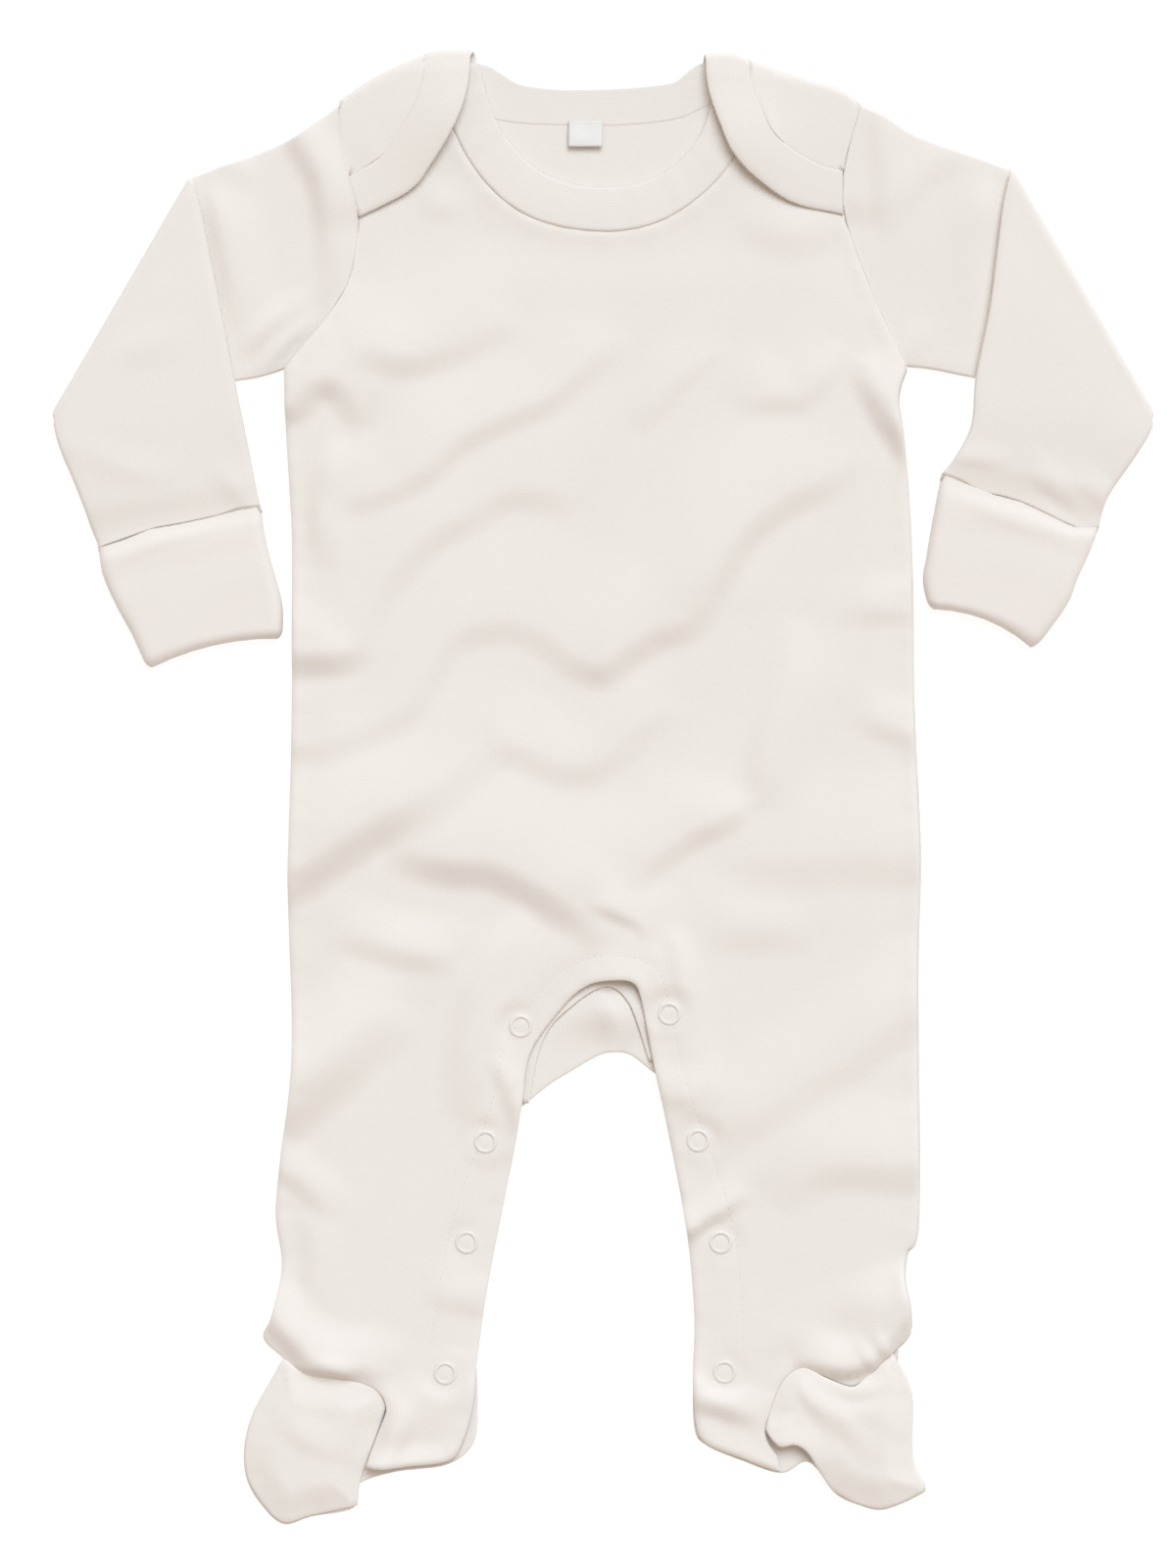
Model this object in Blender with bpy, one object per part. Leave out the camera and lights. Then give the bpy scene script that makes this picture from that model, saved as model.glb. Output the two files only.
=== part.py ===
"""Footed baby sleepsuit with lap shoulders and scratch mitts, laid out flat on its back.

Every cut piece is one sheet of cloth with its own outline. Sizes are in millimetres, with +X to the
right of someone looking down at the front, +Y towards the neck and +Z up from the surface.
A sheet is modelled as the cloth's outer face, and a Solidify modifier gives it its thickness inwards.
"""

import math
from collections import namedtuple
from functools import cache

import bpy
from mathutils import Vector, geometry
from mathutils.bvhtree import BVHTree

MM = 0.001

# Thicknesses of the cloth, single or doubled
CLOTH = 1.2
FRONT_RIB = 2.2
LAP_RIB = 1.3
MITT_WALL = 2.2
FACING = 1.0
LABEL_CLOTH = 0.6
SEAM = 0.4
WRAP_EASE = 0.4
SHOULDER_END_EASE = 1.2
ARMHOLE_GAP = 0.6

# Heights of the outer faces above the surface
FRONT_TOP = 2.8
FRONT_RIB_TOP = 4.2
FOLD_RADIUS = 3.1
LAP_TOP = 2 * FOLD_RADIUS
LAP_TIP_TOP = 5.0
FACING_TOP = 2.6
LABEL_TOP = 2.6
BODY_LOFT = 1.0
FOOT_LOFT = 3.0

# Distances between the points of the sheets
FRONT_GRID = 13
BACK_GRID = 26
FOOT_GRID = 10
FRONT_RIM = 8
FOOT_RIM = 5
EDGE_STEP = 9
FINE_STEP = 6
LAP_SECTIONS = 11

# Poppers
POPPER_OUTER = 4.7
POPPER_INNER = 3.1
POPPER_HEIGHT = 1.0
POPPER_SIDES = 14

CREAM = (0.850, 0.795, 0.735)
RIB_CREAM = (0.840, 0.780, 0.720)
MITT_CREAM = (0.835, 0.775, 0.715)
POPPER_CREAM = (0.830, 0.780, 0.720)
LABEL_WHITE = (0.930, 0.930, 0.930)

# Outline of the body and legs: x at each height, from the underarm to the ankle
Edge = namedtuple("Edge", "x y")
LEFT_SIDE = (
    Edge(-127, 166), Edge(-126.5, 144.5), Edge(-125, 118), Edge(-124, 95.5), Edge(-124, 32.5),
    Edge(-125, -14.5), Edge(-125.5, -45.5), Edge(-124, -108), Edge(-128.5, -147), Edge(-130.5, -170),
    Edge(-128, -190.5), Edge(-132, -210), Edge(-135.5, -219), Edge(-127.5, -227),
)
RIGHT_SIDE = (
    Edge(120.5, 167), Edge(117, 155), Edge(119, 139), Edge(121, 114.5), Edge(122.5, 81.5),
    Edge(123, 32.5), Edge(125.5, -26), Edge(124.5, -77), Edge(125, -170.5), Edge(120.5, -185.5),
    Edge(119.5, -196), Edge(121.5, -206), Edge(121.5, -217.5), Edge(115, -225),
)
LEFT_INSEAM = (
    Edge(-32.5, -126.5), Edge(-35.5, -144.5), Edge(-40, -167), Edge(-46.5, -201), Edge(-50.5, -229.5),
)
RIGHT_INSEAM = (
    Edge(20.5, -113.5), Edge(25.5, -136.5), Edge(33, -176.5), Edge(36, -210), Edge(35.5, -230),
)
FRONT_ARCH = (
    Edge(-32.5, -126.5), Edge(-29, -105.5), Edge(-15.5, -86.5), Edge(-6.5, -79), Edge(2, -77),
    Edge(11, -77.5), Edge(14.5, -83), Edge(17.5, -98), Edge(20.5, -113.5),
)
FACING_ARCH = (
    Edge(-28.5, -121.5), Edge(-26.5, -108), Edge(-21.5, -96), Edge(-13, -87.5), Edge(-3, -80.5),
    Edge(4, -80), Edge(10, -86), Edge(14, -96), Edge(18, -109),
)
BACK_ARCH = (
    Edge(-31, -126), Edge(-21, -118), Edge(-12, -112.5), Edge(-2.5, -107), Edge(3.5, -105.5),
    Edge(10.5, -106.5), Edge(19, -113),
)
LEFT_LEG_END = (
    Edge(-127.5, -227), Edge(-118, -234), Edge(-107.5, -235), Edge(-98.5, -236.5), Edge(-90, -240),
    Edge(-85.5, -246), Edge(-88, -258), Edge(-88.5, -269.5),
)
LEFT_HEEL = (
    Edge(-88.5, -269.5), Edge(-77, -270), Edge(-62, -268), Edge(-56.5, -261), Edge(-52, -246),
    Edge(-50.5, -229.5),
)
RIGHT_LEG_END = (
    Edge(115, -225), Edge(104, -235), Edge(98.5, -238.5), Edge(88.5, -235), Edge(79, -231),
    Edge(71.5, -236), Edge(66.5, -247.5), Edge(64.5, -258), Edge(69, -266),
)
RIGHT_HEEL = (
    Edge(69, -266), Edge(69.5, -272), Edge(55, -267), Edge(40.5, -261), Edge(36.5, -252),
    Edge(35.5, -230),
)

# Armholes, from the shoulder down to the underarm
LEFT_ARMHOLE = (
    Edge(-105.5, 270.5), Edge(-103.5, 251.5), Edge(-98, 230), Edge(-98, 217.5), Edge(-103.5, 196.5),
    Edge(-127, 166),
)
RIGHT_ARMHOLE = (
    Edge(102.5, 271), Edge(99, 260), Edge(95.5, 245.5), Edge(95.5, 228), Edge(99, 217),
    Edge(108.5, 192.5), Edge(120.5, 167),
)

# Crest of the shoulder folds, where the back wraps over to the front
LEFT_SHOULDER = (
    Edge(-106, 272), Edge(-97, 278.5), Edge(-85, 285.5), Edge(-72, 291), Edge(-65, 293), Edge(-49, 292.8),
)
RIGHT_SHOULDER = (
    Edge(38, 291.5), Edge(51, 291.8), Edge(60, 288.5), Edge(80, 282), Edge(94.5, 277.5), Edge(103, 271),
)

# The neckbands: the free edge and the seam of each section, and the layer that it lies in
Band = namedtuple("Band", "free_x free_y seam_x seam_y")
FRONT_NECK = (
    Band(-50, 288, -67, 286), Band(-48.5, 283, -65, 276), Band(-43.5, 266.5, -59.5, 261.5),
    Band(-37, 256, -51.5, 246.5), Band(-27, 246, -38.5, 232.5), Band(-13.5, 240, -21.5, 224),
    Band(1.5, 238.5, 1, 221), Band(15, 240.5, 19.5, 224), Band(26.5, 246, 35, 232.5),
    Band(36.5, 256.5, 48, 245), Band(41.5, 267, 57, 261), Band(43, 278, 60.5, 276),
    Band(41, 287.5, 58.5, 284.5),
)
LEFT_LAP = (
    Band(-96, 226.5, -101.2, 242), Band(-77, 237, -88, 251), Band(-68.5, 247.5, -83.5, 257.5),
    Band(-60, 261.5, -76, 270), Band(-55, 274, -72.5, 279.5), Band(-53, 286, -71.5, 285),
)
BACK_NECK = (
    Band(-50.5, 288, -69, 284), Band(-45, 286.5, -60, 275.5), Band(-41, 284, -52, 269.5),
    Band(-33, 279.5, -40, 265), Band(-21, 277.8, -26, 263.6), Band(-9.5, 277.5, -10, 263.3),
    Band(8, 278, 8, 263.3), Band(26.5, 280, 28, 265.5), Band(32, 283.5, 38, 269.5),
    Band(36.5, 287, 49, 275.5), Band(39.5, 288, 57, 282),
)
RIGHT_LAP = (
    Band(40.5, 285, 58, 281.5), Band(42, 275.5, 60, 275), Band(46.5, 262.5, 63, 269),
    Band(51.5, 251.5, 66, 262), Band(61, 241.5, 72.5, 255), Band(75.5, 232, 84, 248),
    Band(93.6, 227.5, 93.6, 244.5),
)

# Main folds of the front. Each line is the middle of a slope that drops on its right-hand side,
# seen from its start, by the height given, over the width "fall"; the cloth eases back over "rise".
Fold = namedtuple("Fold", "start middle end height fall rise")
FRONT_FOLDS = (
    Fold((-100, 164), (-73, 169), (-42, 179), 2.6, 12, 26),
    Fold((-129, 146), (-113.5, 157), (-94, 136), 3.4, 10, 14),
    Fold((-106, 106), (-45, 139.5), (14, 179), 2.4, 13, 24),
    Fold((-94, 66), (-74, 99), (-10, 112), 2.2, 13, 20),
    Fold((-134, 46), (-107, 48), (-86, 62), 3.2, 11, 26),
    Fold((-70, 26), (-55, 60), (-22, 56), 2.6, 13, 20),
    Fold((-36, 58), (-2.5, 43), (37, 68), 2.8, 13, 24),
    Fold((28, 60), (60, 106), (104, 130), 2.0, 13, 22),
    Fold((-132, 10), (-96, 15), (-67, 41), 2.6, 12, 22),
    Fold((-136, -46), (-97, -24), (-66, -2), 3.8, 13, 24),
    Fold((-66, -10), (-38, 14), (-2, 3), 2.4, 13, 18),
    Fold((-10, 3), (13, 16), (34, 36), 2.2, 13, 20),
    Fold((-78, -30), (-41.5, -38), (2, -62), 3.8, 13, 22),
    Fold((10, -39), (50, -14), (72, 52), 2.6, 14, 24),
    Fold((-62, -122), (-55, -84), (-40, -58), 2.0, 12, 16),
    Fold((-127, -150), (-103, -114), (-68, -88), 3.2, 13, 24),
    Fold((93, 172), (110, 147), (121, 124), 3.2, 11, 16),
    Fold((50, 146), (79, 152), (100, 174), 2.2, 13, 20),
    Fold((66, -42), (96, -34), (134, -37), 1.8, 13, 22),
    Fold((26, -180), (42, -176), (58, -166), 2.0, 8, 12),
)
ANKLE_FOLDS = (
    Fold((-146, -212), (-123, -227), (-92, -234), 4.2, 8, 16),
    Fold((-100, -270), (-75, -269), (-45, -258), 2.0, 6, 10),
    Fold((78, -232), (100, -234), (134, -210), 4.2, 8, 15),
    Fold((26, -244), (46, -248), (62, -254), 2.6, 8, 12),
)
FOLD_POINTS = 14

# Feet: the free edge of each upper, from its meeting with the leg round the toe, and the soles
LEFT_UPPER_TOE = (
    Edge(-86.7, -247.5), Edge(-89.5, -256), Edge(-96.5, -275), Edge(-97.8, -284.5), Edge(-100, -286.3),
    Edge(-116.5, -289.8), Edge(-127, -292.6), Edge(-135, -286), Edge(-141.5, -275), Edge(-142.5, -262),
    Edge(-138.5, -247.5), Edge(-129, -229.5),
)
RIGHT_UPPER_TOE = (
    Edge(65.4, -257.5), Edge(70, -262.2), Edge(76, -261.3), Edge(81, -264.5), Edge(85, -271),
    Edge(90, -278.5), Edge(93.5, -281.3), Edge(101, -285), Edge(111.5, -287), Edge(126, -280.8),
    Edge(127.6, -278), Edge(123.5, -270), Edge(122.5, -262), Edge(122.3, -240), Edge(116.3, -227),
)
LEFT_SOLE = (
    Edge(-129.3, -231.5), Edge(-139, -247.5), Edge(-143, -262), Edge(-142, -275.5), Edge(-135.5, -286.5),
    Edge(-127.2, -293.3), Edge(-116.5, -290.3), Edge(-99.5, -286.8), Edge(-97.5, -277.5),
    Edge(-83, -272.5), Edge(-62, -269.5), Edge(-51.5, -260.5), Edge(-50, -245), Edge(-50.3, -231.5),
)
RIGHT_SOLE = (
    Edge(117.3, -231.5), Edge(122.8, -241), Edge(123, -262), Edge(124.2, -270.5), Edge(128.2, -278),
    Edge(126.4, -281.3), Edge(111.5, -287.5), Edge(101, -285.5), Edge(92, -281), Edge(84.5, -271),
    Edge(79.5, -268.5), Edge(70.5, -273), Edge(55, -268), Edge(41, -262), Edge(36, -255),
    Edge(35.5, -231.5),
)
LEFT_UPPER_MEETS_Y = -247
RIGHT_UPPER_MEETS_Y = -257
ANKLE_SEAM_Y = -231

# Sleeves: the top and under edge of each section, and how far it takes the curve of the armhole,
# or of the wrist on the forearm
Sleeve = namedtuple("Sleeve", "top_x top_y under_x under_y curve half")
LEFT_UPPER_ARM = (
    Sleeve(-105.5, 270.5, -127, 166, 1.0, 1.6), Sleeve(-114, 264.5, -136.5, 163, 0.75, 1.6),
    Sleeve(-124.5, 257.5, -148, 161, 0.5, 1.6), Sleeve(-140, 251, -167, 157.8, 0.25, 1.6),
    Sleeve(-152, 247, -193, 153.5, 0.08, 1.6),
)
LEFT_ELBOW = Sleeve(-161.9, 240.3, -216.6, 147.4, 0, 1.6)
LEFT_FOREARM = (
    Sleeve(-160, 229, -219, 142.5, 0, 1.8), Sleeve(-156.5, 212, -215.8, 133.5, 0, 2.2),
    Sleeve(-151.5, 187.5, -211, 122, 0, 2.4), Sleeve(-146.5, 162, -206.5, 110.5, 0.2, 2.4),
    Sleeve(-142, 139.5, -203.5, 102, 0.5, 2.4), Sleeve(-138, 119, -201.4, 97, 0.9, 2.3),
    Sleeve(-136.4, 112, -201.2, 95.2, 1.0, 2.2),
)
RIGHT_UPPER_ARM = (
    Sleeve(102.5, 271, 120.5, 167, 1.0, 1.6), Sleeve(112, 266.5, 130, 166, 0.75, 1.6),
    Sleeve(122.5, 260, 145, 163, 0.5, 1.6), Sleeve(139, 253.6, 166, 158.8, 0.25, 1.6),
    Sleeve(150, 249.8, 193, 153.7, 0.08, 1.6),
)
RIGHT_ELBOW = Sleeve(160, 243.3, 215.9, 147.6, 0, 1.6)
RIGHT_FOREARM = (
    Sleeve(158.5, 231, 217.8, 142.3, 0, 1.8), Sleeve(156, 212, 213.5, 134.5, 0, 2.2),
    Sleeve(153, 189.5, 208.5, 127, 0, 2.4), Sleeve(147.7, 163, 203.5, 120, 0.2, 2.4),
    Sleeve(146, 144, 200, 114, 0.5, 2.4), Sleeve(139.5, 131, 198, 108, 0.9, 2.3),
    Sleeve(134.5, 124.8, 197.2, 103.8, 1.0, 2.2),
)
LEFT_WRIST = (
    Edge(-136.2, 111.6), Edge(-144, 110.9), Edge(-149, 108.8), Edge(-168, 104.5), Edge(-181, 102.2),
    Edge(-191, 97.9), Edge(-198.5, 97.2), Edge(-201, 94.8),
)
RIGHT_WRIST = (
    Edge(134.3, 124.3), Edge(142.9, 121.2), Edge(149, 116.9), Edge(159.8, 115.1), Edge(170, 111.3),
    Edge(178.4, 107), Edge(187, 102.9), Edge(193.5, 101.3), Edge(197, 103.2),
)
ELBOW_TURNS = (0, 45, 90, 135, 180)
ELBOW_CLEARANCE = 0.4
ELBOW_REACH = 3
ELBOW_DROP = (3, 30)
LEFT_UNDERARM_LINE = (Edge(-147, 161), Edge(-219, 149.5))
RIGHT_UNDERARM_LINE = (Edge(147.5, 163), Edge(219, 149.5))
SHOULDER_PUFF = 1.6
SHOULDER_PUFF_WIDTH = 20
LEFT_PUFF_AT = Vector((-106, 240))
RIGHT_PUFF_AT = Vector((103, 240))
ACROSS_SLEEVE = 8

# Mitts: the inner and outer edge of each section, the share of the wrist's curve that it takes, and
# the inward bow of its free end
Mitt = namedtuple("Mitt", "inner_x inner_y outer_x outer_y curve bow half")
LEFT_MITT = (
    Mitt(-136, 111, -200.6, 94.2, 1.0, 0, 3.0), Mitt(-134.2, 98, -199, 84, 0.4, 0.5, 3.6),
    Mitt(-130.5, 84, -193.5, 71.5, 0, 1.5, 3.9), Mitt(-127.6, 72, -187.5, 60.5, 0, 2.5, 3.9),
)
LEFT_MITT_END = Mitt(-127.6, 59.4, -181.5, 47, 0, 3, 3.9)
RIGHT_MITT = (
    Mitt(134, 123.6, 196.6, 102.4, 1.0, 0, 3.0), Mitt(131, 108, 193.5, 94, 0.4, 0.5, 3.6),
    Mitt(128.3, 92, 188.5, 83, 0, 1.5, 3.9), Mitt(126.8, 82, 184, 72, 0, 2.5, 3.9),
)
RIGHT_MITT_END = Mitt(129, 71.4, 171.5, 54.8, 0, 3.6, 3.9)
MITT_CORNER = 2.2
ACROSS_MITT = 6

LEFT_POPPERS = (Edge(-33, -95), Edge(-47, -141), Edge(-54.5, -181), Edge(-63, -233))
RIGHT_POPPERS = (Edge(26, -90), Edge(37.5, -140.5), Edge(46.5, -181), Edge(48, -232.5))
LABEL_BOX = (Edge(-14, 254.5), Edge(-0.5, 265))


# Curves

def smooth(amount):
    """Ease from 0 to 1 with level ends."""
    amount = min(max(amount, 0.0), 1.0)
    return amount * amount * (3 - 2 * amount)


def resample(points, count):
    """Put count + 1 points at even distances along a polyline."""
    lengths = [0.0]
    for before, after in zip(points, points[1:]):
        lengths.append(lengths[-1] + (after - before).length)
    result = []
    segment = 0
    for index in range(count + 1):
        target = lengths[-1] * index / count
        while segment < len(points) - 2 and lengths[segment + 1] < target:
            segment += 1
        span = lengths[segment + 1] - lengths[segment]
        share = (target - lengths[segment]) / span if span else 0.0
        result.append(points[segment].lerp(points[segment + 1], share))
    return result


def spline(points, step=EDGE_STEP, count=None):
    """A smooth curve through the points, with a point about every step or count + 1 points."""
    points = [Vector(point[:2]) for point in points]
    knots = [2 * points[0] - points[1]] + points + [2 * points[-1] - points[-2]]
    fine = []
    for before, start, end, after in zip(knots, knots[1:], knots[2:], knots[3:]):
        for index in range(8):
            t = index / 8
            fine.append(0.5 * (2 * start + (end - before) * t
                               + (2 * before - 5 * start + 4 * end - after) * t ** 2
                               + (3 * start - 3 * end + after - before) * t ** 3))
    fine.append(points[-1])
    if count is None:
        length = sum((b - a).length for a, b in zip(fine, fine[1:]))
        count = max(1, round(length / step))
    return resample(fine, count)


def closed(*runs):
    """Join runs of points into one closed loop, without repeating the points where they meet."""
    loop = []
    for run in runs:
        for point in run:
            if not loop or (loop[-1] - point).length > SEAM:
                loop.append(point.copy())
    while (loop[0] - loop[-1]).length <= SEAM:
        loop.pop()
    return loop


def height_at(curve, x):
    """The y of a curve that runs from left to right, at x."""
    for before, after in zip(curve, curve[1:]):
        if x <= after.x or after is curve[-1]:
            share = (x - before.x) / (after.x - before.x)
            return before.y + (after.y - before.y) * share
    return curve[-1].y


def clearance(point, loop):
    """Distance from a point to the nearest edge of a closed loop."""
    nearest = math.inf
    for before, after in zip(loop, loop[1:] + loop[:1]):
        span = after - before
        share = min(max((point - before).dot(span) / span.length_squared, 0.0), 1.0)
        nearest = min(nearest, (before + span * share - point).length)
    return nearest


def is_inside(point, loop):
    """Whether a point lies inside a closed loop."""
    inside = False
    for a, b in zip(loop, loop[1:] + loop[:1]):
        if (a.y > point.y) != (b.y > point.y):
            if point.x < a.x + (b.x - a.x) * (point.y - a.y) / (b.y - a.y):
                inside = not inside
    return inside


def rim_points(loop, distance):
    """A row of points just inside a loop, left out where they would crowd each other."""
    turning = sum(a.cross(b) for a, b in zip(loop, loop[1:] + loop[:1]))
    row = []
    for before, point, after in zip(loop[-1:] + loop[:-1], loop, loop[1:] + loop[:1]):
        along = (after - before).normalized()
        inward = Vector((-along.y, along.x)) if turning > 0 else Vector((along.y, -along.x))
        candidate = point + inward * distance
        crowded = any((candidate - other).length < 0.5 * distance for other in row)
        if not crowded and is_inside(candidate, loop) and clearance(candidate, loop) > 0.8 * distance:
            row.append(candidate)
    return row


def grid_inside(loop, spacing, margin):
    """A triangular grid of points inside a loop, more than a margin from its edge."""
    low_x = min(point.x for point in loop)
    high_x = max(point.x for point in loop)
    low_y = min(point.y for point in loop)
    high_y = max(point.y for point in loop)
    row_height = spacing * math.sqrt(3) / 2
    points = []
    for row in range(int((high_y - low_y) / row_height) + 1):
        for column in range(int((high_x - low_x) / spacing) + 2):
            point = Vector((low_x + (column + 0.5 * (row % 2)) * spacing, low_y + row * row_height))
            if is_inside(point, loop) and clearance(point, loop) > margin:
                points.append(point)
    return points


def triangulate(loop, inner_points, rows=()):
    """Points and triangles of the region inside a loop. Each row of points given keeps its edges."""
    outline = list(range(len(loop)))
    points = loop + inner_points
    edges = []
    for row in rows:
        first = len(points)
        points = points + row
        edges += [(index, index + 1) for index in range(first, len(points) - 1)]
    points, _, faces, _, _, _ = geometry.delaunay_2d_cdt(points, edges, [outline], 1, 1e-5)
    return points, faces


# Folds

def fold_line(fold):
    """Points along the arc through a fold's start, middle and end."""
    start, middle, end = (Vector(point) for point in (fold.start, fold.middle, fold.end))
    control = 2 * middle - 0.5 * (start + end)
    line = []
    for index in range(FOLD_POINTS + 1):
        t = index / FOLD_POINTS
        line.append(start * (1 - t) ** 2 + control * 2 * t * (1 - t) + end * t ** 2)
    return line


def fold_height(fold, line, point):
    """Height that one fold adds at a point."""
    nearest = math.inf
    side = 0.0
    along = 0.0
    for index, (before, after) in enumerate(zip(line, line[1:])):
        span = after - before
        share = min(max((point - before).dot(span) / span.length_squared, 0.0), 1.0)
        offset = point - (before + span * share)
        if offset.length < nearest:
            nearest = offset.length
            side = span.cross(offset) / span.length
            along = (index + share) / FOLD_POINTS
    uphill = side + fold.fall / 2
    if uphill < fold.fall:
        profile = smooth(uphill / fold.fall)
    else:
        profile = 1 - smooth((uphill - fold.fall) / fold.rise)
    return fold.height * profile * max(math.sin(math.pi * along), 0.0) ** 0.7


def folded_height(folds, point):
    """Height that a set of folds adds at a point."""
    return sum(fold_height(fold, line, point) for fold, line in folds)


# Objects

def material(name, color, roughness=0.9, metallic=0.0):
    surface = bpy.data.materials.new(name)
    surface.use_nodes = True
    shader = surface.node_tree.nodes["Principled BSDF"]
    shader.inputs["Base Color"].default_value = (*color, 1.0)
    shader.inputs["Roughness"].default_value = roughness
    shader.inputs["Metallic"].default_value = metallic
    surface.diffuse_color = (*color, 1.0)
    return surface


def add_object(name, points, faces, surface):
    """A mesh object from points in millimetres."""
    mesh = bpy.data.meshes.new(name)
    mesh.from_pydata([Vector(point) * MM for point in points], [], faces)
    mesh.materials.append(surface)
    mesh.shade_smooth()
    thing = bpy.data.objects.new(name, mesh)
    bpy.context.scene.collection.objects.link(thing)
    return thing


def add_cloth(name, points, faces, thickness, surface, faces_up=True):
    """A sheet given by its outer face, thickened inwards. faces_up says which way the first face looks."""
    thing = add_object(name, points, faces, surface)
    if (thing.data.polygons[0].normal.z > 0) != faces_up:
        thing.data.flip_normals()
    solid = thing.modifiers.new("Thickness", "SOLIDIFY")
    solid.thickness = thickness * MM
    solid.offset = -1
    solid.use_even_offset = True
    return thing


def add_panel(name, loop, spacing, top, surface, thickness=CLOTH, faces_up=True, rim=0):
    """A cut piece that lies flat or in shallow folds, with its outer face at the height top(point)."""
    inner = grid_inside(loop, spacing, rim + 0.5 * spacing)
    if rim:
        inner += rim_points(loop, rim)
    points, faces = triangulate(loop, inner)
    return add_cloth(name, [(p.x, p.y, top(p)) for p in points], faces, thickness, surface, faces_up)


def add_strip(name, rows, thickness, surface):
    """A band from rows of points across it; its first face looks up."""
    across = len(rows[0])
    points = [point for row in rows for point in row]
    faces = []
    for row in range(len(rows) - 1):
        for column in range(across - 1):
            first = row * across + column
            faces.append((first, first + 1, first + across + 1, first + across))
    return add_cloth(name, points, faces, thickness, surface)


# Shoulders: the back wraps over each shoulder, on a rounded fold, and lies on the front as a lap

def lap_top(point, tip):
    """Height of a lap's outer face, which sinks towards its tip at the armhole."""
    return LAP_TIP_TOP + (LAP_TOP - LAP_TIP_TOP) * smooth((point - tip).length / 42)


@cache
def crest(shoulder):
    """The smooth crest line of a shoulder's fold."""
    return spline(shoulder, 3)


def wrap_axis(shoulder, x):
    """The y about which the cloth turns over at a shoulder."""
    return height_at(crest(shoulder), x) - FOLD_RADIUS


def unfold(point, shoulder):
    """Where a point of the lap lies in the back's flat pattern."""
    axis = wrap_axis(shoulder, point.x)
    return Vector((point.x, 2 * axis + math.pi * FOLD_RADIUS - point.y))


def wrap(point, shoulder, tip):
    """Fold a point of the back's flat pattern over the shoulder."""
    axis = wrap_axis(shoulder, point.x)
    beyond = point.y - axis
    if beyond <= 0:
        return point.x, point.y, 0.0
    angle = beyond / FOLD_RADIUS
    if angle < math.pi:
        return (point.x, axis + FOLD_RADIUS * math.sin(angle), FOLD_RADIUS * (1 - math.cos(angle)))
    folded = Vector((point.x, axis - (beyond - math.pi * FOLD_RADIUS)))
    return folded.x, folded.y, lap_top(folded, tip)


def fold_rows(shoulder, start_x, end_x, upwards):
    """Pattern points up or down a wrap's edge, from the axis to where the lap begins to lie flat."""
    quarters = range(5) if upwards else range(4, -1, -1)
    rows = []
    for quarter in quarters:
        turned = quarter / 4
        x = start_x + (end_x - start_x) * turned
        rows.append(Vector((x, wrap_axis(shoulder, x) + math.pi * FOLD_RADIUS * turned)))
    return rows


def wrap_rows(shoulder, low_x, high_x):
    """Rows of pattern points along a wrap, close enough to round it."""
    steps = round((high_x - low_x) / FINE_STEP)
    columns = [low_x + (high_x - low_x) * step / steps for step in range(1, steps)]
    return [[Vector((x, wrap_axis(shoulder, x) + math.pi * FOLD_RADIUS * quarter / 4)) for x in columns]
            for quarter in range(5)]


def seam_line(bands, count=None):
    return spline([(band.seam_x, band.seam_y) for band in bands], FINE_STEP, count)


# The cut pieces

def armhole(points):
    return spline(points, count=ACROSS_SLEEVE)


def below(points, shoulder, margin=0.0):
    """The points of a curve that lie under the wrap of a shoulder."""
    return [point for point in points if point.y < wrap_axis(shoulder, point.x) - margin]


def reverse(points):
    return list(reversed(points))


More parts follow.
